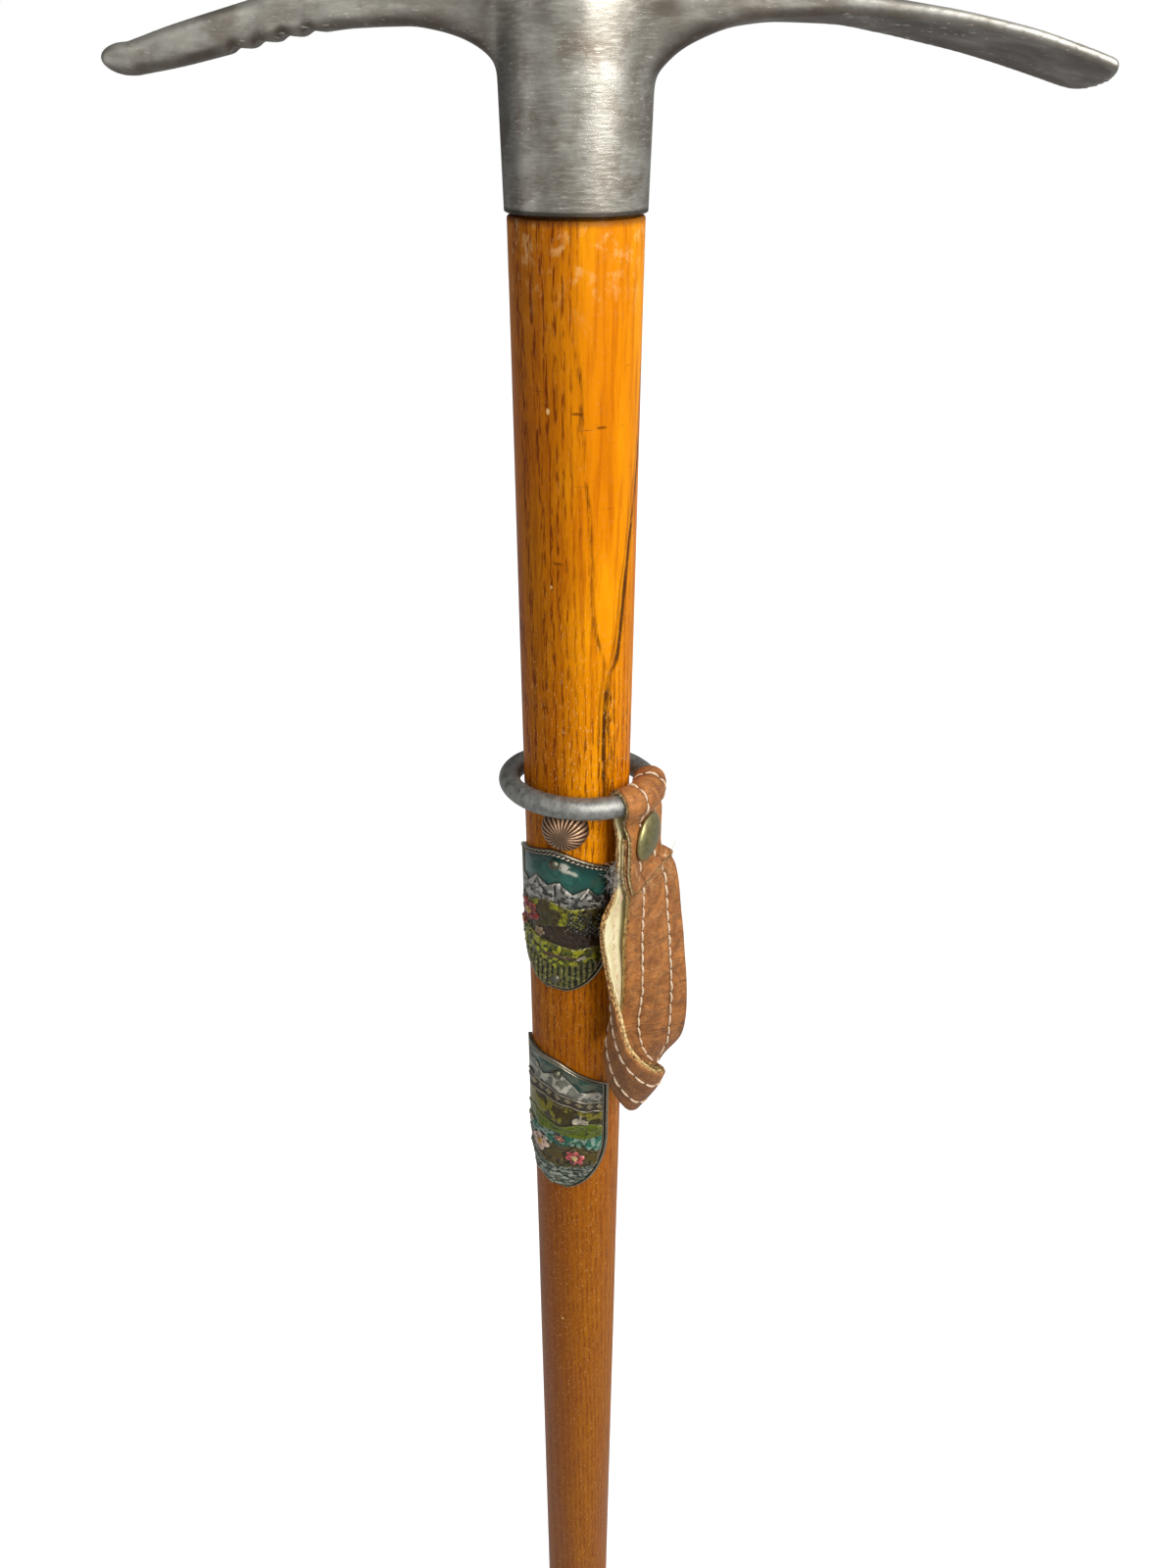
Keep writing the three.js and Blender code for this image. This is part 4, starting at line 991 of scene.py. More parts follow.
def border(die, rope):
    """A raised double rim. The top edge is a twisted rope."""
    flat = smoothstep(2.2, 1.8, die.edge)
    die.height = die.height * (1 - flat) + 0.65 * flat
    outer = smoothstep(0.75, 0.45, die.edge)
    groove = smoothstep(0.75, 0.95, die.edge) * smoothstep(1.5, 1.2, die.edge)
    inner = smoothstep(1.15, 1.35, die.edge) * smoothstep(1.9, 1.7, die.edge)
    die.paint(outer, (158, 152, 138), 0.42, 1.0)
    die.paint(groove, (46, 42, 36), -0.12, 0.5)
    die.paint(inner, (146, 140, 124), 0.3, 1.0)
    if rope:
        band = smoothstep(1.7, 1.5, die.down) * smoothstep(0.35, 0.55, die.down)
        twist = 0.5 + 0.5 * np.sin((die.along * 1.0 + die.down * 1.4) * 2 * np.pi / 1.25)
        die.paint(band * smoothstep(0.35, 0.65, twist), (196, 190, 178), 0.2, 1.0)
        die.paint(band * smoothstep(0.35, 0.1, twist), (54, 48, 40), -0.1, 0.6)
    return die


print("die tools ready")

# %% [markdown]
# ### The upper badge
#
# Teal sky, a range of snowy peaks, a green alp with a row of firs, a wild rose at the left, and
# ribs like a shell along the foot. The sky is drawn first and the rim last, as on a painted card,
# because each shape covers what is behind it.

# %% Upper die
UPPER = {"top": -185.4, "height": 46.1, "width": 31, "arch": 7, "lean": 0.5}
rows, columns = ((250, 170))
upper = Die(UPPER, rows, columns)
blotch, speck = upper.grain(0.35, 3), upper.grain(0.8, 9, 2)
upper.paint(np.ones_like(blotch), (22, 74, 72))
upper.paint(upper.below([(-16, 41), (16, 41)], 2.0) * 0.55, (44, 118, 110))
upper.paint(smoothstep(0.52, 0.7, blotch) * upper.below([(-16, 43), (16, 43)]) * 0.4, (84, 150, 140))
upper.paint(upper.disc(2.6, 41.4, 1.5, 0.5) * smoothstep(0.3, 0.5, speck), (222, 226, 220), 0.1)
upper.paint(upper.stroke(1.4, 41.0, 5.2, 40.6, 1.2, 0.4), (206, 216, 210), 0.08)
peaks = [(-16, 33.5), (-12.5, 35.6), (-10, 33.8), (-6, 37.2), (-2.5, 34.4), (1, 36.2), (4.5, 33.6), (8.5, 36.8),
         (11, 34.2), (16, 35.6)]
meadow = [(-16, 20), (-5, 16.8), (5, 15.4), (16, 17.4)]
upper.hill(peaks, (148, 152, 150), 0.22, 0.25)
upper.hill(peaks, (206, 208, 208), 0.05, 0.15, share=smoothstep(0.46, 0.6, speck))
upper.hill(peaks, (72, 74, 76), -0.08, share=smoothstep(0.5, 0.36, upper.grain(0.9, 21)))
for x, up in ((-6, 37.2), (8.5, 36.8), (-12.5, 35.6)):
    upper.paint(upper.stroke(x, up - 0.4, x + 2.3, up - 4.4, 0.35), (58, 60, 62), -0.1)
    upper.paint(upper.stroke(x, up - 0.4, x - 1.9, up - 3.8, 0.5), (222, 222, 220), 0.1)
alp = [(-16, 29.4), (-9, 28.4), (-3, 30.2), (4, 28.8), (10, 30.4), (16, 29)]
upper.hill(alp, (84, 74, 30), 0.12)
upper.hill(alp, (156, 160, 14), 0.12, share=smoothstep(0.44, 0.62, blotch))
upper.hill([(-16, 24), (-6, 20), (4, 23.5), (16, 18)], (66, 48, 30), -0.1)
upper.hill(meadow, (120, 128, 10), 0.14)
upper.hill(meadow, (182, 186, 24), 0.08, share=smoothstep(0.5, 0.62, speck))
for k, x in enumerate((4.2, 6.6, 9.0, 11.2)):
    base = 21.5 + 1.2 * math.sin(2.1 * k)
    for step in range(4):
        up = base + step * 1.7
        upper.paint(upper.stroke(x - 1.5 + 0.32 * step, up, x, up + 1.5, 0.5), (26, 34, 20), 0.13)
        upper.paint(upper.stroke(x + 1.5 - 0.32 * step, up, x, up + 1.5, 0.5), (30, 40, 24), 0.13)
    upper.paint(upper.stroke(x, base - 1.6, x, base, 0.5), (40, 26, 16), 0.1)
# painted shadow: the right side of the picture below the alp is nearly black
upper.paint(smoothstep(8.5, 12.5, upper.along) * upper.below([(-16, 31), (16, 31)]) * 0.7, (26, 20, 14))
upper.paint(upper.stroke(-12.8, 13.2, -8.6, 22.4, 0.5), (62, 78, 24), 0.14)
upper.paint(upper.stroke(-8.4, 13.6, -8.8, 20.0, 0.45), (62, 78, 24), 0.14)
upper.flower(-8.4, 24.4, 4.0, 5, (176, 10, 22), (216, 176, 84), 0.4)
upper.flower(-12.2, 18.6, 2.1, 5, (190, 24, 34), (216, 176, 84), 1.1)
upper.flower(-4.6, 18.8, 1.7, 5, (176, 150, 118), (120, 84, 40), 0.2)
upper.paint(upper.stroke(-2.0, 12.6, 5.6, 12.2, 1.3, 0.3), (92, 64, 44), 0.14)
upper.paint(upper.stroke(6.0, 12.0, 7.4, 12.6, 1.1, 0.3), (198, 190, 180), 0.14)
ribs = smoothstep(8.6, 7.6, upper.up + np.abs(upper.along) * -0.28)
rib = 0.5 + 0.5 * np.cos(upper.along * 2 * np.pi / 1.5)
upper.paint(ribs * smoothstep(0.4, 0.7, rib), (120, 118, 66), 0.12, 0.45)
upper.paint(ribs * smoothstep(0.4, 0.15, rib), (58, 74, 34), -0.05)
upper.swell = 0.9 * (upper.grain(0.16, 51, 2) - 0.4)
border(upper, True)
print("upper die:", upper.up.shape, " relief", round(float(np.ptp(upper.height)), 2), "mm")

# %% [markdown]
# ### The lower badge
#
# Its outline leans to one side. Pale sky over snowy peaks, a band of plain diamonds, an olive valley
# with a small lake, four star-shaped flowers and a silver foot. The diamonds come from one repeating
# distance, which is simpler than placing them one by one.

# %% Lower die
LOWER = {"top": -259.0, "height": 52, "width": 30, "arch": 6, "lean": 5.5}
lower = Die(LOWER, rows, columns)
blotch, speck = lower.grain(0.4, 31), lower.grain(0.8, 37, 2)
lower.paint(np.ones_like(blotch), (58, 98, 88))
lower.paint(smoothstep(0.45, 0.62, blotch), (112, 128, 116), 0.04)
snow = [(-16, 44.2), (-9, 47.0), (-5, 44.6), (1, 47.4), (6, 44.4), (11, 46.2), (16, 43.6)]
band_top, valley = [(-16, 41), (16, 41)], [(-16, 35.8), (16, 35.8)]
lake = [(-16, 23.4), (-3, 24.6), (7, 22.6), (16, 24)]
lower.hill(snow, (138, 142, 134), 0.2, 0.3)
lower.hill(snow, (206, 206, 198), 0.05, share=smoothstep(0.5, 0.66, speck))
lower.hill(band_top, (92, 84, 66), 0.05, 0.2)
diamond = np.abs((lower.along / 3.0 + 50.5) % 1 - 0.5) * 3.0 + np.abs(lower.up - 38.6) * 0.8
lower.hill(band_top, (166, 152, 122), 0.16, 0.7, share=smoothstep(1.25, 1.05, diamond))
for up in (40.9, 36.2):
    lower.paint(lower.stroke(-16, up, 16, up, 0.5), (158, 152, 134), 0.2, 1.0)
lower.hill(valley, (74, 66, 26), 0.02)
lower.hill(valley, (140, 134, 14), 0.12, share=smoothstep(0.4, 0.6, blotch))
lower.hill([(-16, 27), (-8, 29.6), (0, 27.4), (8, 30), (16, 27)], (104, 124, 8), 0.14)
lower.hill(lake, (44, 132, 112), -0.08)
lower.hill(lake, (148, 182, 170), 0.04, share=smoothstep(0.55, 0.7, speck))
lower.paint(lower.disc(6.4, 30.2, 2.3, 0.3) * smoothstep(29.4, 29.9, lower.up), (214, 208, 192), 0.2)
lower.paint(lower.stroke(6.4, 32.3, 6.4, 34.4, 0.6), (190, 182, 160), 0.18, 0.5)
lower.hill([(-16, 19), (-6, 17.4), (5, 19.4), (16, 16)], (98, 86, 36), 0.08)
lower.flower(-5.6, 17.2, 3.2, 6, (236, 206, 196), (206, 160, 60), 0.2)
lower.flower(4.8, 14.8, 2.8, 6, (220, 96, 104), (240, 220, 160), 0.7)
lower.flower(-10.6, 22.6, 1.9, 6, (206, 190, 176), (188, 152, 70), 0.9)
lower.flower(0.6, 21.6, 1.5, 5, (178, 96, 92), (214, 190, 130), 0.1)
for x0, x1 in ((-5.6, -2.4), (4.8, 0.8), (-10.6, -8.4)):
    lower.paint(lower.stroke(x0, 13.6, x1, 9.4, 0.45), (58, 72, 26), 0.12)
foot = smoothstep(10.4, 9.4, lower.up + np.abs(lower.along) * -0.2)
lower.paint(foot, (118, 138, 126), 0.08, 0.7)
lower.paint(foot * smoothstep(0.5, 0.64, speck), (176, 190, 180), 0.08, 0.8)
rib = 0.5 + 0.5 * np.cos(lower.up * 2 * np.pi / 1.7)
lower.paint(foot * smoothstep(0.35, 0.1, rib) * 0.7, (56, 78, 72), -0.12)
lower.swell = 2.4 * (lower.grain(0.17, 61, 2) - 0.4)
border(lower, False)
print("lower die:", lower.up.shape)

# %% [markdown]
# ### Enamel, plating and wear
#
# Enamel is glossy and thick in the hollows. On high lines and at random chips the plated metal
# shows, and old polish and dirt darken the hollows. The paint's colours come from the die, point by
# point, and the wear is added here as coats, so that a change to the wear leaves the picture alone.

# %% Enamel finish
enamel = Finish("enamelled tin")
bend = enamel.value("bend")
spots = enamel.noise(PER_MM, 0.8, 4.0, 0.6)
fine = enamel.noise(PER_MM, 3.5, 3.0, 0.6)
rub = bend.remap(0.010, 0.035) * spots.remap(0.36, 0.56)
bare = enamel.larger(enamel.value("metal"), rub * 0.6)
tone = enamel.coated(
    enamel.mix(1.0, enamel.colour("paint"), (0.6, 0.56, 0.5, 1), "MULTIPLY"),
    (rub * 0.5, (150, 142, 124)),
    (fine.remap(0.5, 0.74, 0, 0.22), (54, 44, 32)),
    (bend.remap(-0.003, -0.022, 0, 0.92), (14, 11, 8)),
    (enamel.noise(PER_MM, 0.22, 3.0).remap(0.5, 0.68, 0, 0.22), (84, 66, 40)),
)
rough = enamel.mix(bare, spots.remap(0.3, 0.7, 0.2, 0.34), (0.32, 0.32, 0.32, 1))
height = fine * 0.4 + enamel.noise(PER_MM, 0.42, 2.0, 0.4) * 9.0
enamel.set(base_color=tone, metallic=bare * 0.9, roughness=rough, normal=enamel.relief(height, 0.06, 0.5))
enamel.set(coat_weight=0.3, coat_roughness=0.07, specular_ior_level=0.16)
print("enamel:", len(enamel.tree.nodes), "nodes")

# %% [markdown]
# ### Pressing a sheet
#
# A press bends the sheet round the stick and stamps it in one stroke. Here the die's grid of points
# is wrapped round the shaft and raised by the drawing. The back is plain and needs far fewer points.
# Between them stands a row of edge points, so that the sheet ends in a cut edge. Hollows round the
# raised shapes get painted shade, and the shapes that stand proud get painted highlights.

# %% The press
BACK_STEP = 13  # the plain back needs only every thirteenth column
BADGE_TURN = math.radians(-23)
SHEET_BACK, SHEET_FACE = 0.08, 0.3
RELIEF_GAIN, SHADE_ROUNDS = 1.8, 26


def press(name, die, node):
    radius = shaft_radius(die.z)
    turn = die.along / (radius + SHEET_FACE) + BADGE_TURN
    rows, columns = die.up.shape

    def skin(rise):
        r = radius + rise
        return np.stack([r * np.sin(turn), -r * np.cos(turn), die.z], -1)

    inside = smoothstep(1.6, 3.6, die.edge)
    relief = 0.35 + (die.height - PLAIN) * RELIEF_GAIN + die.swell * inside
    # painted shade in the hollows round raised shapes, and painted highlights on what stands proud
    around = die.height.copy()
    for _ in range(SHADE_ROUNDS):
        around[1:-1, 1:-1] = (around[:-2, 1:-1] + around[2:, 1:-1] + around[1:-1, :-2] + around[1:-1, 2:]) / 4
    low, proud = np.clip((around - die.height) * 7, 0, 1), np.clip((die.height - around) * 7, 0, 1)
    paint = np.clip(die.colour * (1 - 0.85 * low + 0.45 * proud)[..., None], 0, 1)
    front = skin(SHEET_FACE + relief).reshape(-1, 3)
    grid = np.arange(rows * columns).reshape(rows, columns)
    loop = np.concatenate([grid[0, :], grid[1:, -1], grid[-1, -2::-1], grid[-2:0:-1, 0]])
    back = skin(np.full(die.z.shape, SHEET_BACK)).reshape(-1, 3)
    mid = front[loop] * 0.35 + back[loop] * 0.65
    plain = grid[1:-1, BACK_STEP:-1:BACK_STEP].ravel()
    points = np.concatenate([front, mid, back[loop], back[plain]])
    faces = list(grid_faces(rows, columns))
    count, start = len(loop), rows * columns
    for k in range(count):
        n = (k + 1) % count
        faces.append((loop[k], start + k, start + n, loop[n]))
        faces.append((start + k, start + count + k, start + count + n, start + n))
    at_back = np.zeros(rows * columns, int)
    at_back[loop] = start + count + np.arange(count)
    at_back[plain] = start + 2 * count + np.arange(len(plain))
    at_back = at_back.reshape(rows, columns)
    for i in range(rows - 1):
        for j in range(0, columns - 1, BACK_STEP):
            above = at_back[i, j:j + BACK_STEP + 1][::1 if i == 0 else BACK_STEP]
            beneath = at_back[i + 1, j:j + BACK_STEP + 1][::1 if i == rows - 2 else BACK_STEP]
            faces.append([*above, *beneath[::-1]])
    obj = weld(add_mesh(name, points, faces), 0)
    bright = np.full((count * 2 + len(plain), 3), SILVER)
    set_colour(obj, "paint", np.concatenate([paint.reshape(-1, 3), bright]))
    set_value(obj, "metal", np.concatenate([die.metal.ravel(), np.ones(len(bright))]))
    measure_bend(obj, 1)
    at_front(obj)
    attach(wear(obj, enamel), "stick")
    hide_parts(node)
    return obj


print("press ready")

# %% [markdown]
# ### Brass and tacks
#
# The snap's brass has gone olive, with a rim rubbed lighter, and the tacks have lost the shine of
# their plating. One finish with a switch could serve both; two short recipes are easier to change.

# %% Brass and tack finishes
brass = Finish("olive brass")
spots = brass.noise(PER_MM, 0.8, 5.0, 0.62)
specks = brass.cells(PER_MM, 1.7).remap(0.2, 0.08)
rim = brass.value("bend").remap(0.004, 0.02)
tone = brass.tones(
    spots.remap(0.35, 0.65), (112, 106, 66), (142, 134, 90),
    (specks * 0.35, (70, 62, 40)),
    (rim * 0.4, (176, 168, 120)),
)
rough = spots.remap(0.3, 0.7, 0.3, 0.46)
brass.set(base_color=tone, metallic=0.85, roughness=rough, normal=brass.relief(spots, 0.08, 0.5))
dull = Finish("dull plated tacks")
spots = dull.noise(PER_MM, 0.9, 4.0, 0.6)
tone = dull.tones(spots.remap(0.35, 0.65), (74, 72, 58), (112, 110, 94))
dull.set(base_color=tone, metallic=0.8, roughness=0.42, normal=dull.relief(spots, 0.08, 0.5))
print("brass and tacks:", len(brass.tree.nodes), "and", len(dull.tree.nodes), "nodes")

# %% [markdown]
# ### Fixing the badges
#
# Each badge is held by two round-headed tacks on its middle line, one near either end. They are
# turned pieces that point out of the shaft at the badge's place.

# %% Badges and their tacks
upper_badge = press("upper_badge", upper, "badge_upper")
lower_badge = press("lower_badge", lower, "badge_lower")
tack = [(0, 1.25), (0.6, 1.15), (1.1, 0.85), (1.42, 0.4), (1.5, 0.05), (1.3, -0.15), (0.6, -0.2), (0.6, -7)]
tack += [(0, -7.3)]
for badge, label, inset in ((UPPER, "upper", 4.2), (LOWER, "lower", 4.4)):
    for k, z in enumerate((badge["top"] - inset, badge["top"] - badge["height"] + inset)):
        nail = turned(f"{label}_tack_{k + 1}", tack, 28)
        face_out(nail, BADGE_TURN + FRONT_TURN, z, shaft_radius(z) + 1.2)
        measure_bend(nail, 1)
        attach(wear(nail, dull), "stick")
        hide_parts(f"badge_{label}_nail_{k + 1}")
print("badge faces:", len(upper_badge.data.polygons), len(lower_badge.data.polygons))

# %% [markdown]
# ## The strap
#
# The strap is a single strip of leather: tan grain leather outside and cream lining inside, sewn
# together by two rows of thick thread. One end comes up between the ring and the shaft, over the
# wire and down as a frayed flap. The other end lies between the flap and the inner leg, and a press
# snap goes through all three. Between them the strip hangs as a twisted loop. It could be hung as
# cloth, but old leather keeps the bends that it was worn into, which no simulation knows. So the
# route is drawn: the fold follows the ring's wire, and the loop follows pairs of points on its two
# edges. The result is the middle of the strip, from the flap's end to the tail's end, as one grid.

# %% Route of the strip
INNER, TAIL, FLAP = 15.4, 17.1, 18.8
FOLD_END, LOOP_TOP, TAIL_TOP = -191.6, -192.2, -179.9
SNAP_Z, SNAP_SIDE = -182.9, -1.5
WIDTH, COLUMNS = 20.0, 33
WIRE_GAP, HALF_THICK = 0.3, 0.72


def wire_height(azimuth):
    return RING_Z - RING_R * math.sin(RING_TILT) * np.cos(azimuth - RING_LOW)


WIRE_Z = float(wire_height(STRAP_AZIMUTH))


def fold_row(out, z):
    """Points across the fold: round the ring over the wire, flat under the snap."""
    over = np.linspace(-WIDTH / 2, WIDTH / 2, COLUMNS)
    azimuth = STRAP_AZIMUTH + over / RING_R
    curved = np.stack([np.sin(azimuth) * out, -np.cos(azimuth) * out, 0 * over], -1) + ring_centre
    curved[:, 2] = z + wire_height(azimuth) - WIRE_Z
    flat = ring_centre + out * fold_out + over[:, None] * fold_across
    flat[:, 2] = z
    bent = smoothstep(TAIL_TOP + 0.4, WIRE_Z - WIRE_R - 0.5, z)
    return flat * (1 - bent) + curved * bent


def top_row(layer, z):
    middle = ring_centre[:2] + layer * fold_out[:2]
    return [tuple(middle + side * WIDTH / 2 * fold_across[:2]) + (z,) for side in (-1, 1)]


LOOP = np.array([
    top_row(INNER - 0.3, 0), top_row(INNER - 0.3, -2),
    [[9.6, -17.9, -5.2], [18.4, 0, -5.4]], [[6.9, -20.5, -11.4], [16.5, -3.1, -12.4]],
    [[7.1, -21.5, -19], [15.4, -4, -22.3]], [[8.6, -22.4, -27.8], [14.2, -6.4, -38.8]],
    [[10.4, -23.6, -35.1], [10.4, -13.4, -52.2]], [[11.8, -24.9, -40], [8.2, -17.6, -58.4]],
    [[14.2, -28, -47.4], [9.6, -21.4, -65.8]], [[18, -29.8, -51.4], [12.4, -23.2, -71]],
    [[21.8, -28.9, -55.2], [15.4, -22.8, -75.2]], [[24.1, -25.6, -57.6], [18.2, -18, -76.7]],
    [[22.7, -21.6, -60], [20.8, -10, -75.2]], [[17.4, -18.9, -61], [25.2, -5.2, -70.2]],
    [[13.8, -17.3, -57.4], [29.6, -5.2, -64]], [[11.9, -16.4, -50.4], [30.9, -6.2, -54.8]],
    [[12.9, -15.9, -40.2], [30.9, -5.2, -42.8]], [[13, -15.7, -28.8], [29.6, -4, -30.3]],
    [[12.9, -15.7, -18.8], [28.2, -2.4, -19.6]], [[13.5, -15.1, -9.8], [26.9, -0.4, -9.8]],
    [[13.4, -16.3, -4.8], [25.3, 0.5, -4.2]], top_row(TAIL + 0.4, -1.6), top_row(TAIL + 0.4, 0),
])
LOOP[..., 2] += LOOP_TOP


def through(points, steps):
    """A smooth line through points, the same kind as a draughtsman's spline."""
    p = np.concatenate([[2 * points[0] - points[1]], points, [2 * points[-1] - points[-2]]])
    t = np.linspace(0, len(points) - 1, steps)
    i = np.minimum(t.astype(int), len(points) - 2)
    f = (t - i)[:, None]
    a, b, c, d = p[i], p[i + 1], p[i + 2], p[i + 3]
    return b + 0.5 * f * (c - a + f * (2 * a - 5 * b + 4 * c - d + f * (3 * (b - c) + d - a)))


def strip_route():
    bend = WIRE_R + WIRE_GAP + HALF_THICK
    arc = np.radians(np.linspace(-42, 188, 46))
    path = [(FLAP, z) for z in np.arange(FOLD_END, SNAP_Z + 6.8, 0.5)]
    path += [(RING_R + bend * math.cos(a), WIRE_Z + bend * math.sin(a)) for a in arc]
    path += [(INNER - 0.3, TAIL_TOP + 2)] + [(INNER, z) for z in np.arange(TAIL_TOP + 0.4, FOLD_END, -0.5)]
    rows = [fold_row(out, z) for out, z in path]
    near, far = through(LOOP[:, 0], 330), through(LOOP[:, 1], 330)
    v = np.linspace(0, 1, COLUMNS)[None, :, None]
    loop = near[:, None] * (1 - v) + far[:, None] * v
    last = [i for i in range(len(loop) - 60, len(loop)) if loop[i, :, 2].mean() > LOOP_TOP - 4.2]
    out = np.cross(np.gradient(loop, axis=1), np.gradient(loop, axis=0))[last]
    flap_end = loop[last] + out / np.linalg.norm(out, axis=-1, keepdims=True) * 1.75
    over = np.linspace(-WIDTH / 2, WIDTH / 2, COLUMNS)[:, None] * fold_across
    tail_heights = np.arange(FOLD_END, TAIL_TOP + 0.01, 0.5)
    tail = [ring_centre * [1, 1, 0] + TAIL * fold_out + over + [0, 0, z] for z in tail_heights]
    return np.concatenate([flap_end, rows, loop, tail])


def evenly(rows, step):
    """The same surface with rows at even distances along its middle."""
    middle = rows[:, COLUMNS // 2]
    s = np.concatenate([[0], np.cumsum(np.linalg.norm(np.diff(middle, axis=0), axis=1))])
    even = np.linspace(0, s[-1], int(s[-1] / step) + 1)
    out = np.empty((len(even),) + rows.shape[1:])
    for j in range(rows.shape[1]):
        for k in range(3):
            out[:, j, k] = np.interp(even, s, rows[:, j, k])
    return out, even


def eased(rows, reach):
    """Rounds the route off along its length. Both ends stay where they are."""
    kernel = np.exp(-0.5 * (np.arange(-3 * reach, 3 * reach + 1) / reach) ** 2)
    kernel /= kernel.sum()
    pad = 3 * reach
    first = 2 * rows[:1] - rows[pad:0:-1]
    last = 2 * rows[-1:] - rows[-2:-pad - 2:-1]
    long = np.concatenate([first, rows, last])
    return sum(w * long[i:i + len(rows)] for i, w in enumerate(kernel))


STEP = 0.55
route, s_along = evenly(strip_route(), STEP)
route, s_along = evenly(eased(route, 2), STEP)
LENGTH = s_along[-1]
where = route[:, COLUMNS // 2]
lowest = int(np.argmin(where[:, 2]))
above = where[:, 2] - LOOP_TOP
s_hinge = [float(s_along[i]) for i in range(1, len(where)) if above[i] * above[i - 1] <= 0]
print("strip:", round(LENGTH, 1), "mm long, rows", len(route), " hinge at", [round(s, 1) for s in s_hinge])

# %% [markdown]
# ### Thickness, curl and creases
#
# Under the snap the layers are pressed thin; in the loop they swell. Leather that has hung for
# years cups a little across its width and has soft dents where it was folded. The thread pulls it
# down along each row of stitches, deepest at the holes. All of this moves real points, because a
# strap is seen along its edge, where bump shows nothing.

# %% Shape of the strip's surface
v_across = np.linspace(0, 1, COLUMNS)


def surface_normals(grid):
    along = np.gradient(grid, axis=0)
    over = np.gradient(grid, axis=1)
    n = np.cross(over, along)
    return n / np.linalg.norm(n, axis=-1, keepdims=True)


in_loop = smoothstep(s_hinge[1] + 1, s_hinge[1] + 9, s_along)
in_loop = in_loop * smoothstep(s_hinge[-1] - 1, s_hinge[-1] - 9, s_along)
normals = surface_normals(route)
soft = np.array([[noise.noise(Vector((s * 0.085, v * 1.6, 3.3))) for v in v_across] for s in s_along])
cup = (1 - (2 * v_across - 1) ** 2)[None, :] * 0.35 - 0.15
route = route + normals * (in_loop[:, None] * (soft * 0.5 + cup))[..., None]
normals = surface_normals(route)
thick = 1.5 + 0.45 * in_loop
STITCH_ROWS = (0.26, 0.73)
HOLE_PITCH = 3.75


def pulled_in(s, v):
    """How far the thread pulls the leather down at a point of the strip."""
    depth = 0
    for k, row in enumerate(STITCH_ROWS):
        away = (v - row) * WIDTH
        phase = (s / HOLE_PITCH + 0.37 * k) % 1
        hole = np.exp(-((np.minimum(phase, 1 - phase) * HOLE_PITCH / 0.5) ** 2))
        depth = depth + np.exp(-((away / 0.6) ** 2)) * (0.12 + 0.26 * hole)
    return depth


print("thickness:", round(thick.min(), 2), "to", round(thick.max(), 2), "mm")

# %% [markdown]
# ### Two plies
#
# Each ply is a closed skin: a top, a bottom and two cut sides. A thickness modifier would leave the
# sides flat. Leather cut with a knife has uneven sides, so they get points of their own, and a mark
# by which the finish can show raw fibre there.

# %% Cut the plies
def ply(name, low, high, finish, face_high):
    """A closed sheet between two shares of the strip's thickness."""
    rows = len(route)
    pull = pulled_in(s_along[:, None], v_across[None, :])
    edge_dip = 0.22 * np.exp(-(np.minimum(v_across, 1 - v_across) * WIDTH / 0.35) ** 2)[None, :]
    top = thick[:, None] * high - (pull + edge_dip if face_high else 0)
    bottom = thick[:, None] * low + (0 if face_high else pull + edge_dip)

    def cut_noise(s, e):
        return noise.noise(Vector((s * 1.1, 7.0 * e, low * 3))) + 0.5 * noise.noise(Vector((s * 3.1, e, high)))

    ragged = np.array([[cut_noise(s, e) for e in (0, 1)] for s in s_along]) * 0.16
    over = np.gradient(route, axis=1)
    over /= np.linalg.norm(over, axis=-1, keepdims=True)
    upper_skin = route + normals * top[..., None]
    lower_skin = route + normals * bottom[..., None]
    sides = []
    for e, column, sign in ((0, 0, -1), (1, -1, 1)):
        middle = []
        for share in (0.75, 0.5, 0.25):
            bulge = 0.1 + ragged[:, e] * (1.2 if share == 0.5 else 0.7)
            depth = (top[:, column] * share + bottom[:, column] * (1 - share))[:, None]
            middle.append(route[:, column] + normals[:, column] * depth + over[:, column] * (sign * bulge)[:, None])
        sides.append(np.stack(middle, 1))
    ring_rows = np.concatenate([upper_skin, sides[1], lower_skin[:, ::-1], sides[0][:, ::-1]], 1)
    count = ring_rows.shape[1]
    cut = np.concatenate([np.zeros(COLUMNS), np.ones(3), np.zeros(COLUMNS), np.ones(3)])
    cut[[0, COLUMNS - 1, COLUMNS + 3, 2 * COLUMNS + 2]] = 0.5
    width = np.concatenate([v_across, [1.02] * 3, v_across[::-1], [-0.02] * 3]) * WIDTH
    faces = [list(f) for f in grid_faces(rows, count, wrap=True, flip=True)]
    for base, turn in ((0, 1), ((rows - 1) * count, -1)):
        for j in range(COLUMNS - 1):
            a, b = base + j, base + j + 1
            c, d = base + 2 * COLUMNS + 2 - j - 1, base + 2 * COLUMNS + 2 - j
            faces.append([a, b, c, d][::turn])
        faces.append([base + COLUMNS - 1 + i for i in range(5)][::turn])
        faces.append([base + i for i in [0] + list(range(count - 1, 2 * COLUMNS + 1, -1))][::-turn])
    obj = add_mesh(name, ring_rows, faces)
    uv = obj.data.uv_layers.new(name="sheet")
    index = np.empty(len(obj.data.loops), int)
    obj.data.loops.foreach_get("vertex_index", index)
    s_all = np.repeat(s_along, count)
    w_all = np.tile(width, rows)
    uv.data.foreach_set("uv", np.stack([s_all[index], w_all[index]], -1).astype(np.float32).ravel())
    ends = smoothstep(0.3, 0.0, np.minimum(s_all, LENGTH - s_all))
    set_value(obj, "cut", np.maximum(np.tile(cut, rows), ends))
    set_value(obj, "face", np.tile(np.concatenate([np.ones(COLUMNS + 1), np.zeros(COLUMNS + 3), [0, 1]]), rows))
    wear(obj, finish)
    at_front(obj)
    return obj


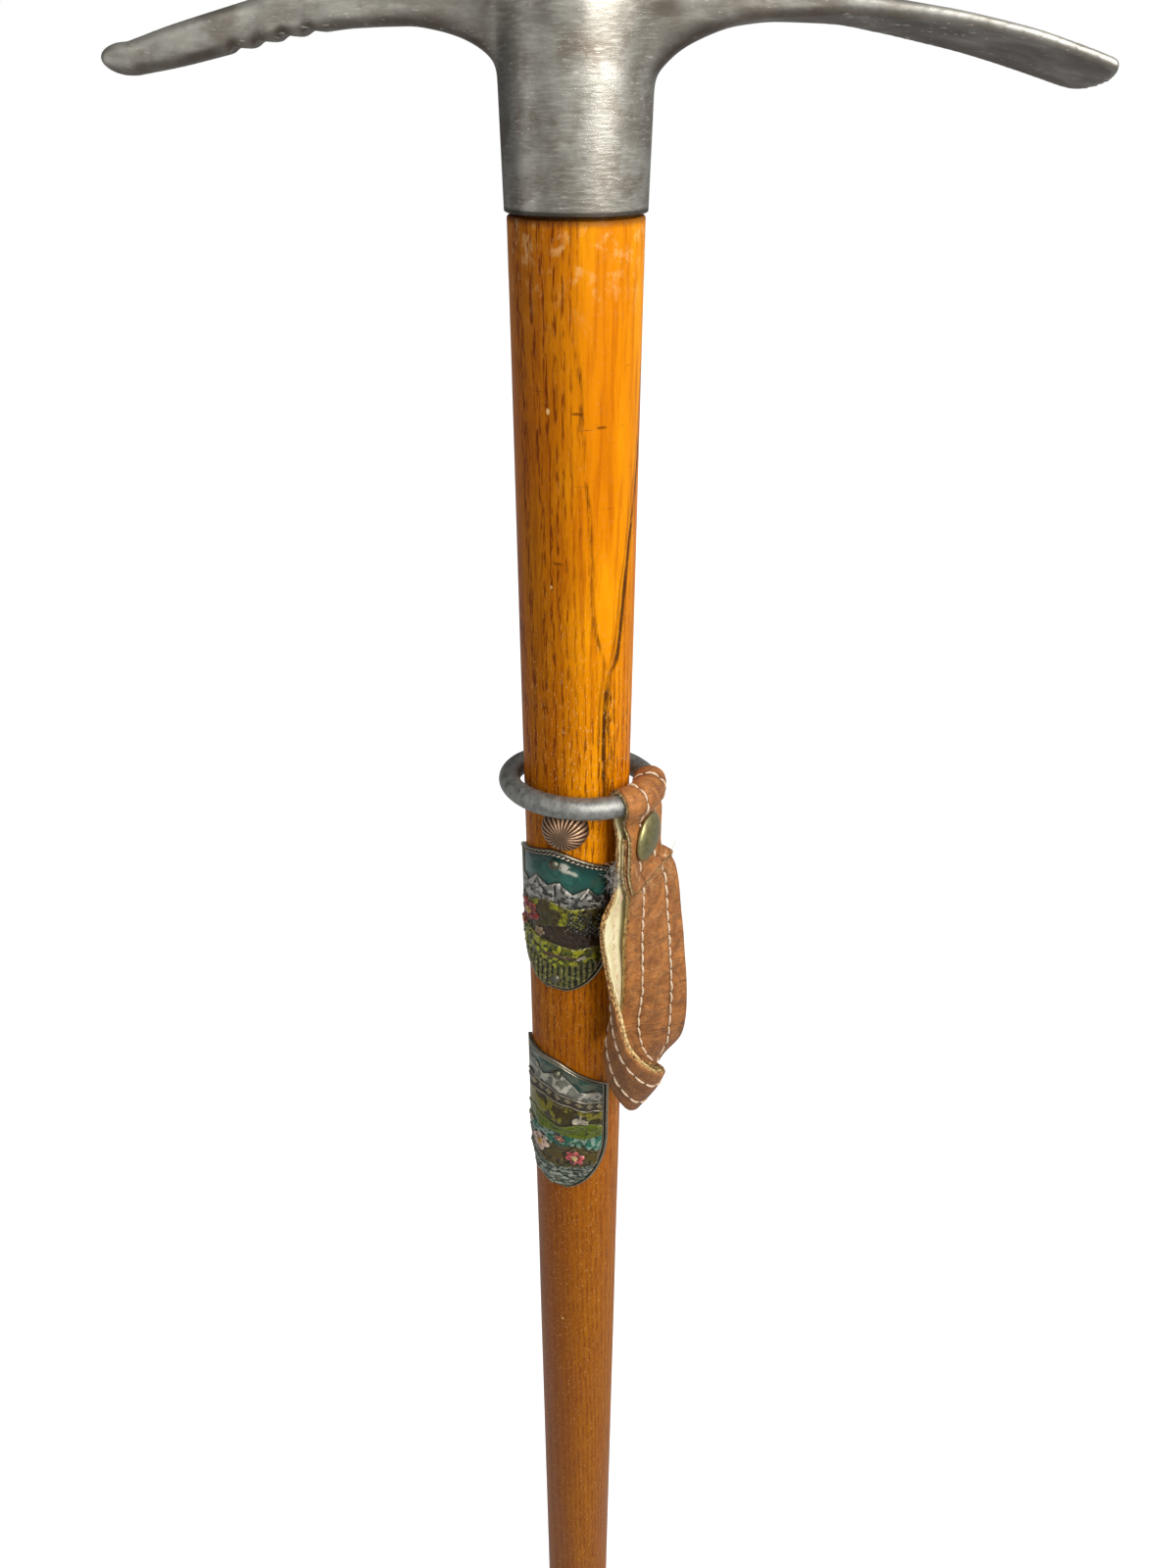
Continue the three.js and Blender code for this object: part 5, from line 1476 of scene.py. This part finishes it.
print("ply cutter ready")

# %% [markdown]
# ### Tan grain leather
#
# The tan side is worn and dry. It is warm brown with darker handling marks, a fine pebble grain,
# shallow creases across the strip and pale cracks near the snap. Its cut sides show raw fibre,
# light where it is fresh and dark where it is dirty. The patterns are laid out along and across the
# strip, not in space, so that they follow the leather round its bends.

# %% Tan leather finish
tan = Finish("tan leather")
sheet = tan.sheet()
clouds = tan.noise(tan.stretch(sheet, (0.2, 0.27, 1)), 1.0, 5.0, 0.62, 0.5)
grain = tan.cells(tan.stretch(sheet, (2.6, 3.0, 1)), 1.0)
fine = tan.noise(tan.stretch(sheet, (3.6, 4.4, 1)), 1.0, 4.0, 0.65)
creases = tan.noise(tan.stretch(sheet, (0.75, 0.09, 1)), 1.0, 4.0, 0.6, 0.8)
crease = abs(creases - 0.5).remap(0.02, 0.0)
cut = tan.value("cut")
fibres = tan.noise((1500, 1500, 1000), 1.0, 4.0, 0.7)
dark = tan.noise(tan.stretch(sheet, (0.05, 0.22, 1)), 1.0, 3.0).remap(0.52, 0.7)
specks = tan.cells(tan.stretch(sheet, (0.5, 0.6, 1)), 1.0).remap(0.22, 0.1)
s_here, v_here = tan.split(sheet)[:2]
near_row = tan.smaller(*[abs(v_here - row * WIDTH) for row in STITCH_ROWS])
near_snap = tan.larger(s_here.remap(13, 5), s_here.remap(LENGTH - 25, LENGTH - 20))
wander = tan.read("TexNoise", {"Vector": sheet, "Scale": 0.5}, "Color")
crack_map = tan.read("VectorMath", {0: tan.stretch(sheet, (0.42, 0.3, 1)), 1: wander}, operation="ADD")
cracks = tan.cells(crack_map, 1.0, "DISTANCE_TO_EDGE").remap(0.045, 0.012) * near_snap * clouds.remap(0.4, 0.6)
# painted shade: the strap darkens towards the bottom of the loop
shade_low_down = tan.split(tan.place())[2].remap(-232, -262)
raw = tan.tones(fibres.remap(0.4, 0.6), (104, 62, 24), (232, 182, 112))
tone = tan.tones(
    clouds.remap(0.34, 0.66), (134, 80, 34), (190, 122, 60),
    (fine.remap(0.5, 0.7, 0, 0.5), (206, 144, 90)),
    (fine.remap(0.48, 0.32, 0, 0.55), (104, 56, 22)),
    (crease * 0.5, (222, 172, 122)),
    (dark * 0.35, (104, 60, 28)),
    (specks * 0.4, (86, 46, 20)),
    (near_row.remap(0.9, 0.3, 0, 0.5), (84, 46, 20)),
    (cracks * 0.75, (226, 192, 148)),
    # painted shade towards the bottom of the loop
    (shade_low_down * 0.42, (96, 60, 34)),
)
tone = tan.mix(cut.remap(0.35, 0.9), tone, raw)
dents = tan.noise(tan.stretch(sheet, (0.35, 0.3, 1)), 1.0, 3.0, 0.6, 0.4)
height = grain * 0.3 + fine * 0.5 + dents * 2.6 - crease * 0.5 - cracks * 0.6 + fibres * cut * 2.2
rough = fine.remap(0.3, 0.7, 0.36, 0.6)
tan.set(base_color=tone, roughness=rough, normal=tan.relief(height, 0.3, 0.95), specular_ior_level=0.32)
print("tan leather:", len(tan.tree.nodes), "nodes")

# %% [markdown]
# ### Cream lining
#
# The lining is a soft split leather in cream. Near the bottom of the loop, where it turns inside the
# bend, painted shade makes it olive brown. It is the same kind of recipe as the tan side, with less
# relief and no shine.

# %% Cream leather finish
cream = Finish("cream lining")
sheet = cream.sheet()
clouds = cream.noise(cream.stretch(sheet, (0.16, 0.2, 1)), 1.0, 4.0, 0.6, 0.4)
fine = cream.noise(cream.stretch(sheet, (3.2, 3.6, 1)), 1.0, 4.0, 0.65)
fibres = cream.noise((1500, 1500, 1000), 1.0, 4.0, 0.7)
cut = cream.value("cut")
from_bottom = abs(cream.split(sheet)[0] - float(s_along[lowest]))
# painted shade: olive brown near the bottom of the loop
loop_bottom_shade = from_bottom.remap(34, 16) * clouds.remap(0.25, 0.6, 0.6, 1.0)
raw = cream.tones(fibres.remap(0.4, 0.6), (140, 98, 48), (236, 208, 146))
tone = cream.tones(
    clouds.remap(0.35, 0.65), (220, 204, 156), (236, 228, 186),
    (fine.remap(0.55, 0.75, 0, 0.35), (188, 160, 108)),
    (loop_bottom_shade, (122, 98, 58)),
)
tone = cream.mix(cut.remap(0.35, 0.9), tone, raw)
height = fine * 0.6 + fibres * cut * 2.0
cream.set(base_color=tone, roughness=0.82, normal=cream.relief(height, 0.2, 0.7), specular_ior_level=0.3)
print("cream lining:", len(cream.tree.nodes), "nodes")

# %% [markdown]
# ### Leather that bends at the snap
#
# The loop swings while the fold stays on the ring. Two stiff pieces would part there, so each ply is
# one mesh that follows the fold above the hinge and the loop below it.

# %% Both plies, bent where the loop hangs from the snap
outer_ply = ply("strap_tan", 0.03, 0.5, tan, True)
lining_ply = ply("strap_cream", -0.5, -0.03, cream, False)
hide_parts("strap_outer", "strap_fold")
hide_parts("strap_lining", "strap_tail")
for obj in (outer_ply, lining_ply):
    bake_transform(obj)
print("ply faces:", len(outer_ply.data.polygons), len(lining_ply.data.polygons))

# %% [markdown]
# ### Stitches
#
# Two rows of thick waxed thread run the whole length on both faces. Each stitch is a short,
# slightly slanted bar that dives into a hole at each end, so a row looks like a chain of grains.
# A painted stitch would vanish at the edge of the strap, so every one is a thin tube.

# %% Thread finish and stitches
thread = Finish("waxed thread")
twist = thread.noise((2500, 2500, 2500), 1.0, 3.0, 0.6)
dirt = thread.noise(PER_MM, 0.35, 3.0)
tone = thread.tones(
    twist.remap(0.35, 0.65), (196, 164, 130), (240, 220, 194),
    (dirt.remap(0.5, 0.66, 0, 0.45), (196, 150, 112)),
)
thread.set(base_color=tone, roughness=0.6, normal=thread.relief(twist, 0.12, 0.8), specular_ior_level=0.35)


def on_strip(s, v, lift):
    """A point over the strip: lift is measured from its middle, towards the tan face."""
    i = np.clip(np.asarray(s, float) / STEP, 0, len(route) - 1.001)
    j = np.clip(np.asarray(v, float) * (COLUMNS - 1), 0, COLUMNS - 1.001)
    i0, j0 = i.astype(int), j.astype(int)
    fi, fj = (i - i0)[..., None], (j - j0)[..., None]

    def at(grid):
        low = grid[i0, j0] * (1 - fj) + grid[i0, j0 + 1] * fj
        high = grid[i0 + 1, j0] * (1 - fj) + grid[i0 + 1, j0 + 1] * fj
        return low * (1 - fi) + high * fi

    n = at(normals)
    n /= np.linalg.norm(n, axis=-1, keepdims=True)
    return at(route) + n * np.asarray(lift)[..., None]


def tubes(name, paths, radii, sides=8):
    """Round threads along paths. Each path is an array of points and each radius a list."""
    points, faces, first = [], [], 0
    for path, radius in zip(paths, radii):
        path = np.asarray(path)
        tangent = np.gradient(path, axis=0)
        tangent /= np.linalg.norm(tangent, axis=1, keepdims=True) + 1e-9
        guide = np.array([0.31, 0.52, 0.79]) if abs(tangent[0, 2]) < 0.9 else np.array([0.9, 0.3, 0.1])
        u = np.cross(tangent, guide)
        u /= np.linalg.norm(u, axis=1, keepdims=True) + 1e-9
        w = np.cross(tangent, u)
        a = np.linspace(0, 2 * np.pi, sides, endpoint=False)
        r = np.asarray(radius)[:, None, None]
        spokes = u[:, None] * np.cos(a)[None, :, None] + w[:, None] * np.sin(a)[None, :, None]
        points.append((path[:, None] + r * spokes).reshape(-1, 3))
        faces += [list(f) for f in grid_faces(len(path), sides, first, wrap=True)]
        faces.append([first + i for i in range(sides)][::-1])
        faces.append([first + (len(path) - 1) * sides + i for i in range(sides)])
        first += len(path) * sides
    return add_mesh(name, np.concatenate(points), faces)


def stitch_rows(face, start, stop):
    paths, radii = [], []
    for k, row in enumerate(STITCH_ROWS):
        first = (-0.37 * k) % 1 * HOLE_PITCH
        holes = np.arange(first, LENGTH, HOLE_PITCH)
        for h0, h1 in zip(holes[:-1], holes[1:]):
            if h0 < start or h1 > stop:
                continue
            slant, wide = random.normal(0, 0.003), random.normal(0, 0.004)
            t = np.linspace(0, 1, 9)
            s = h0 + 0.22 + (h1 - h0 - 0.44) * t
            v = row + wide * np.sin(np.pi * t) + slant * (t - 0.5) * 2
            rise = np.sin(np.pi * np.clip(t, 0.02, 0.98)) ** 0.5
            surface = np.interp(s, s_along, thick) * 0.5 - 0.12
            lift = face * (surface - 0.3 + 0.42 * rise)
            paths.append(on_strip(s, v, lift))
            radii.append(0.36 * (0.5 + 0.5 * rise))
    return paths, radii


tan_paths, tan_radii = stitch_rows(1, 1.5, LENGTH - 14)
lining_paths, lining_radii = stitch_rows(-1, 14, LENGTH - 14)
stitches = tubes("strap_stitches", tan_paths + lining_paths, tan_radii + lining_radii)
wear(at_front(stitches), thread)
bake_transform(stitches)
print("stitches:", len(tan_paths), "on the tan face,", len(lining_paths), "on the lining")

# %% [markdown]
# ### Loose fibres
#
# Cut leather frays. Short fibres stand out of both sides of the strip and of its end, a small tuft of
# grey dust hangs on the inner leg's edge behind the snap, and a single thread end points out of the
# flap. Hair particles would do as well, but tubes with three sides are light and stay plain meshes
# when the piece is exported.

# %% Fibres and thread ends
def fibre(start, direction, length, curl, steps=5):
    t = np.linspace(0, 1, steps)[:, None]
    side = random.normal(0, 1, 3)
    side -= side.dot(direction) * direction
    return start + direction * length * t + side * curl * length * t * t


def loose(root, inner, scatter, sunk, lengths, curl, steps=5):
    """A fibre that stands out of the leather at its root, away from a point further in."""
    start = on_strip(*root)
    outward = start - on_strip(*inner)
    outward /= np.linalg.norm(outward)
    direction = outward + scatter * random.normal(0, 1, 3)
    direction /= np.linalg.norm(direction)
    return fibre(start - sunk * outward, direction, random.uniform(*lengths), curl, steps)


fray_paths, fray_radii = [], []
for _ in range(1100):
    s, far = random.uniform(0.5, LENGTH - 0.5), random.random() < 0.4
    lift = random.uniform(-0.45, 0.45) * np.interp(s, s_along, thick)
    root, inner = (s, 0.999 if far else 0.001, lift), (s, 0.9 if far else 0.1, lift)
    fray_paths.append(loose(root, inner, 0.7, 0.05, (0.2, 0.75), 0.5))
    fray_radii.append(np.linspace(0.045, 0.012, 5))
for _ in range(320):
    side = random.uniform(0.01, 0.99)
    root = (0.0, side, random.uniform(-0.5, 0.5))
    fray_paths.append(loose(root, (2.0, side, 0.0), 0.5, 0.1, (0.3, 1.1), 0.6))
    fray_radii.append(np.linspace(0.055, 0.015, 5))
tuft_paths, tuft_radii = [], []
for _ in range(170):
    s = s_hinge[1] + random.normal(-1.0, 2.2)
    root = (s, 0.002, random.uniform(-0.7, 0.7))
    tuft_paths.append(loose(root, (s, 0.1, 0.0), 0.8, 0.1, (0.8, 2.6), 0.9, 7))
    tuft_radii.append(np.linspace(0.05, 0.015, 7))
out_there = 0.75 * fold_across + 0.25 * fold_out + np.array([0, 0, 0.72])
fray_paths.append(fibre(on_strip(0.4, 0.93, 0.6), out_there / np.linalg.norm(out_there), 4.6, 0.12, 9))
fray_radii.append(np.linspace(0.11, 0.05, 9))
frayed = tubes("strap_fray", fray_paths, fray_radii, 3)
fray = Finish("raw fibre")
tone = fray.tones(fray.noise(PER_MM, 0.8, 3.0).remap(0.4, 0.6), (128, 88, 46), (226, 196, 146))
fray.set(base_color=tone, roughness=0.9)
wear(at_front(frayed), fray)
tuft = tubes("strap_tuft", tuft_paths, tuft_radii, 3)
dust = Finish("dusty fibre")
tone = dust.tones(dust.noise(PER_MM, 1.2, 3.0).remap(0.4, 0.6), (120, 112, 100), (206, 204, 198))
dust.set(base_color=tone, roughness=0.95)
wear(at_front(tuft), dust)
for obj in (frayed, tuft):
    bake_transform(obj)
print("fibres:", len(fray_paths), "and", len(tuft_paths), "in the tuft")

# %% [markdown]
# ## The press snap
#
# The cap is a shallow dome of olive brass with a rolled rim, seated on the flap. Its post goes
# through the three layers to a flat disc against the shaft side. Both are turned pieces, moved from
# the lathe's axis to the face of the strap.

# %% Snap
seat = FLAP + 0.7
post_end = INNER - 1.2
cap_profile = [(0, post_end), (1.5, post_end), (1.5, seat), (5.7, seat), (6.15, seat + 0.05), (6.5, seat + 0.3)]
cap_profile += [(6.6, seat + 0.65)]
for t in np.linspace(0.12, math.pi / 2 - 0.01, 18):
    cap_profile.append((6.6 * math.cos(t) ** 0.9, seat + 0.65 + 2.0 * math.sin(t)))
cap_profile.append((0, seat + 2.65))


def at_snap(obj):
    """Turns a piece from the Z axis to the strap's face and moves it to the snap's centre."""
    turn = Matrix.Rotation(STRAP_AZIMUTH, 4, "Z") @ Matrix.Rotation(math.pi / 2, 4, "X")
    centre = Vector(ring_centre * [1, 1, 0] + SNAP_SIDE * fold_across + [0, 0, SNAP_Z])
    obj.data.transform(FRONT @ Matrix.Translation(centre * MM) @ turn)
    return obj


snap_cap = at_snap(turned("snap_dome", cap_profile, 80, 50))
DISC = ((0, 1.05), (4.6, 1.05), (4.8, 1.2), (4.8, 1.6), (4.6, 1.8), (4.0, 1.85), (0, 1.85))
disc = [(radius, INNER - sunk) for radius, sunk in DISC]
snap_disc = at_snap(turned("snap_back", disc, 56, 50))
for obj, node in ((snap_cap, "snap_cap"), (snap_disc, "snap_disc")):
    measure_bend(obj, 1)
    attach(wear(obj, brass), "strap_top")
    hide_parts(node)
print("snap faces:", len(snap_cap.data.polygons))

# %% [markdown]
# ## The floor
#
# The stick stands on a pale floor. Lit like the rest it would throw white light up into the metal
# and come out grey in the picture, so it shines by itself for the camera, less for mirrors, and is
# a plain mid grey for all other light.

# %% Floor
FLOOR_HALF, FLOOR_Z = 6000, -874.6
corners = [(x * FLOOR_HALF, y * FLOOR_HALF, FLOOR_Z) for x, y in ((-1, -1), (1, -1), (1, 1), (-1, 1))]
floor = add_mesh("floor", corners, [(0, 1, 2, 3)])
ground = Finish("pale floor")
to_camera, to_mirror = ground.rays("Camera", "Glossy")
shown = ground.larger(to_camera, to_mirror * 0.24)
shade = ground.noise(PER_MM, 0.01, 2.0)
ground.set(base_color=ground.mix(shade, (0.4, 0.4, 0.4, 1), (0.44, 0.44, 0.44, 1)), roughness=0.9)
ground.set(emission_color=(1, 1, 1, 1), emission_strength=shown * 0.93)
floor.data.materials.append(ground.material)
print("floor at", FLOOR_Z, "mm")

# %% [markdown]
# ## Light
#
# Soft daylight comes from a window at the right, and a weak light from the wall at the left fills
# the shadows. Reflections see a white room that is darker to the left and behind, which gives metal
# and varnish their shape. A picture of a room would do the same, with less to adjust.

# %% Room light
world = bpy.data.worlds.new("room")
bpy.context.scene.world = world
room = Graph(world)
to_camera, to_mirror, through_glass = room.rays("Camera", "Glossy", "Transmission")
direction = room.read("TexCoord", {}, "Generated")
sideways = room.read("VectorMath", {0: direction, 1: (0.74, -0.67, 0.1)}, "Value", operation="DOT_PRODUCT")
brightness = room.larger(to_camera, sideways.remap(-0.9, 1.2, 0.06, 1.25))
white = room.read("Background", {"Color": (1, 1, 1, 1), "Strength": brightness})
ambient = room.read("Background", {"Color": (0.96, 0.98, 1, 1), "Strength": 0.5})
mirrored = room.larger(room.larger(to_camera, to_mirror), through_glass)
room.node("OutputWorld", {0: room.read("MixShader", {0: mirrored, 1: ambient, 2: white})})


def area_light(name, azimuth, elevation, distance, size, power, target, colour=(1, 1, 1)):
    """A lamp that looks at its target. Angles are in degrees, lengths in metres, power in watts."""
    data = bpy.data.lights.new(name, "AREA")
    data.shape, data.energy, data.color = "RECTANGLE", power, colour
    data.size, data.size_y = size
    lamp = bpy.data.objects.new(name, data)
    a, e = math.radians(azimuth), math.radians(elevation)
    out = Vector((math.sin(a) * math.cos(e), -math.cos(a) * math.cos(e), math.sin(e)))
    lamp.location = Vector(target) + out * distance
    lamp.rotation_euler = out.to_track_quat("Z", "Y").to_euler()
    bpy.context.scene.collection.objects.link(lamp)
    return lamp


area_light("window", 46, 34, 0.8, (0.5, 0.7), 8.2, (0, 0, -0.13), (1, 0.985, 0.96))
area_light("wall", -70, 12, 1.1, (0.6, 0.8), 0.9, (0, 0, -0.2))

# %% [markdown]
# ## Camera
#
# The camera stands a quarter of a metre in front of the head, at its height, and looks down
# thirty-one degrees, so the head is near the top of the picture and the shaft runs away below it. A
# longer lens from further away would show the same piece, but a wide one from close by makes the
# shaft taper strongly, as it does to the eye at arm's length.

# %% Camera
EYE = Vector((2.9, -262, -16))
LOOK_UP, ROLL = math.radians(59), math.radians(0.26)  # from straight down, so 31 degrees below level
lens = bpy.data.cameras.new("camera")
lens.sensor_width, lens.lens, lens.clip_start = 36, 27, 0.01
camera = bpy.data.objects.new("camera", lens)
look = Matrix.Rotation(LOOK_UP, 4, "X") @ Matrix.Rotation(ROLL, 4, "Z")
camera.matrix_world = FRONT @ Matrix.Translation(EYE * MM) @ look
bpy.context.scene.collection.objects.link(camera)
bpy.context.scene.camera = camera
bpy.context.scene.view_settings.view_transform = "Standard"
print("camera at", [round(v, 4) for v in camera.location])
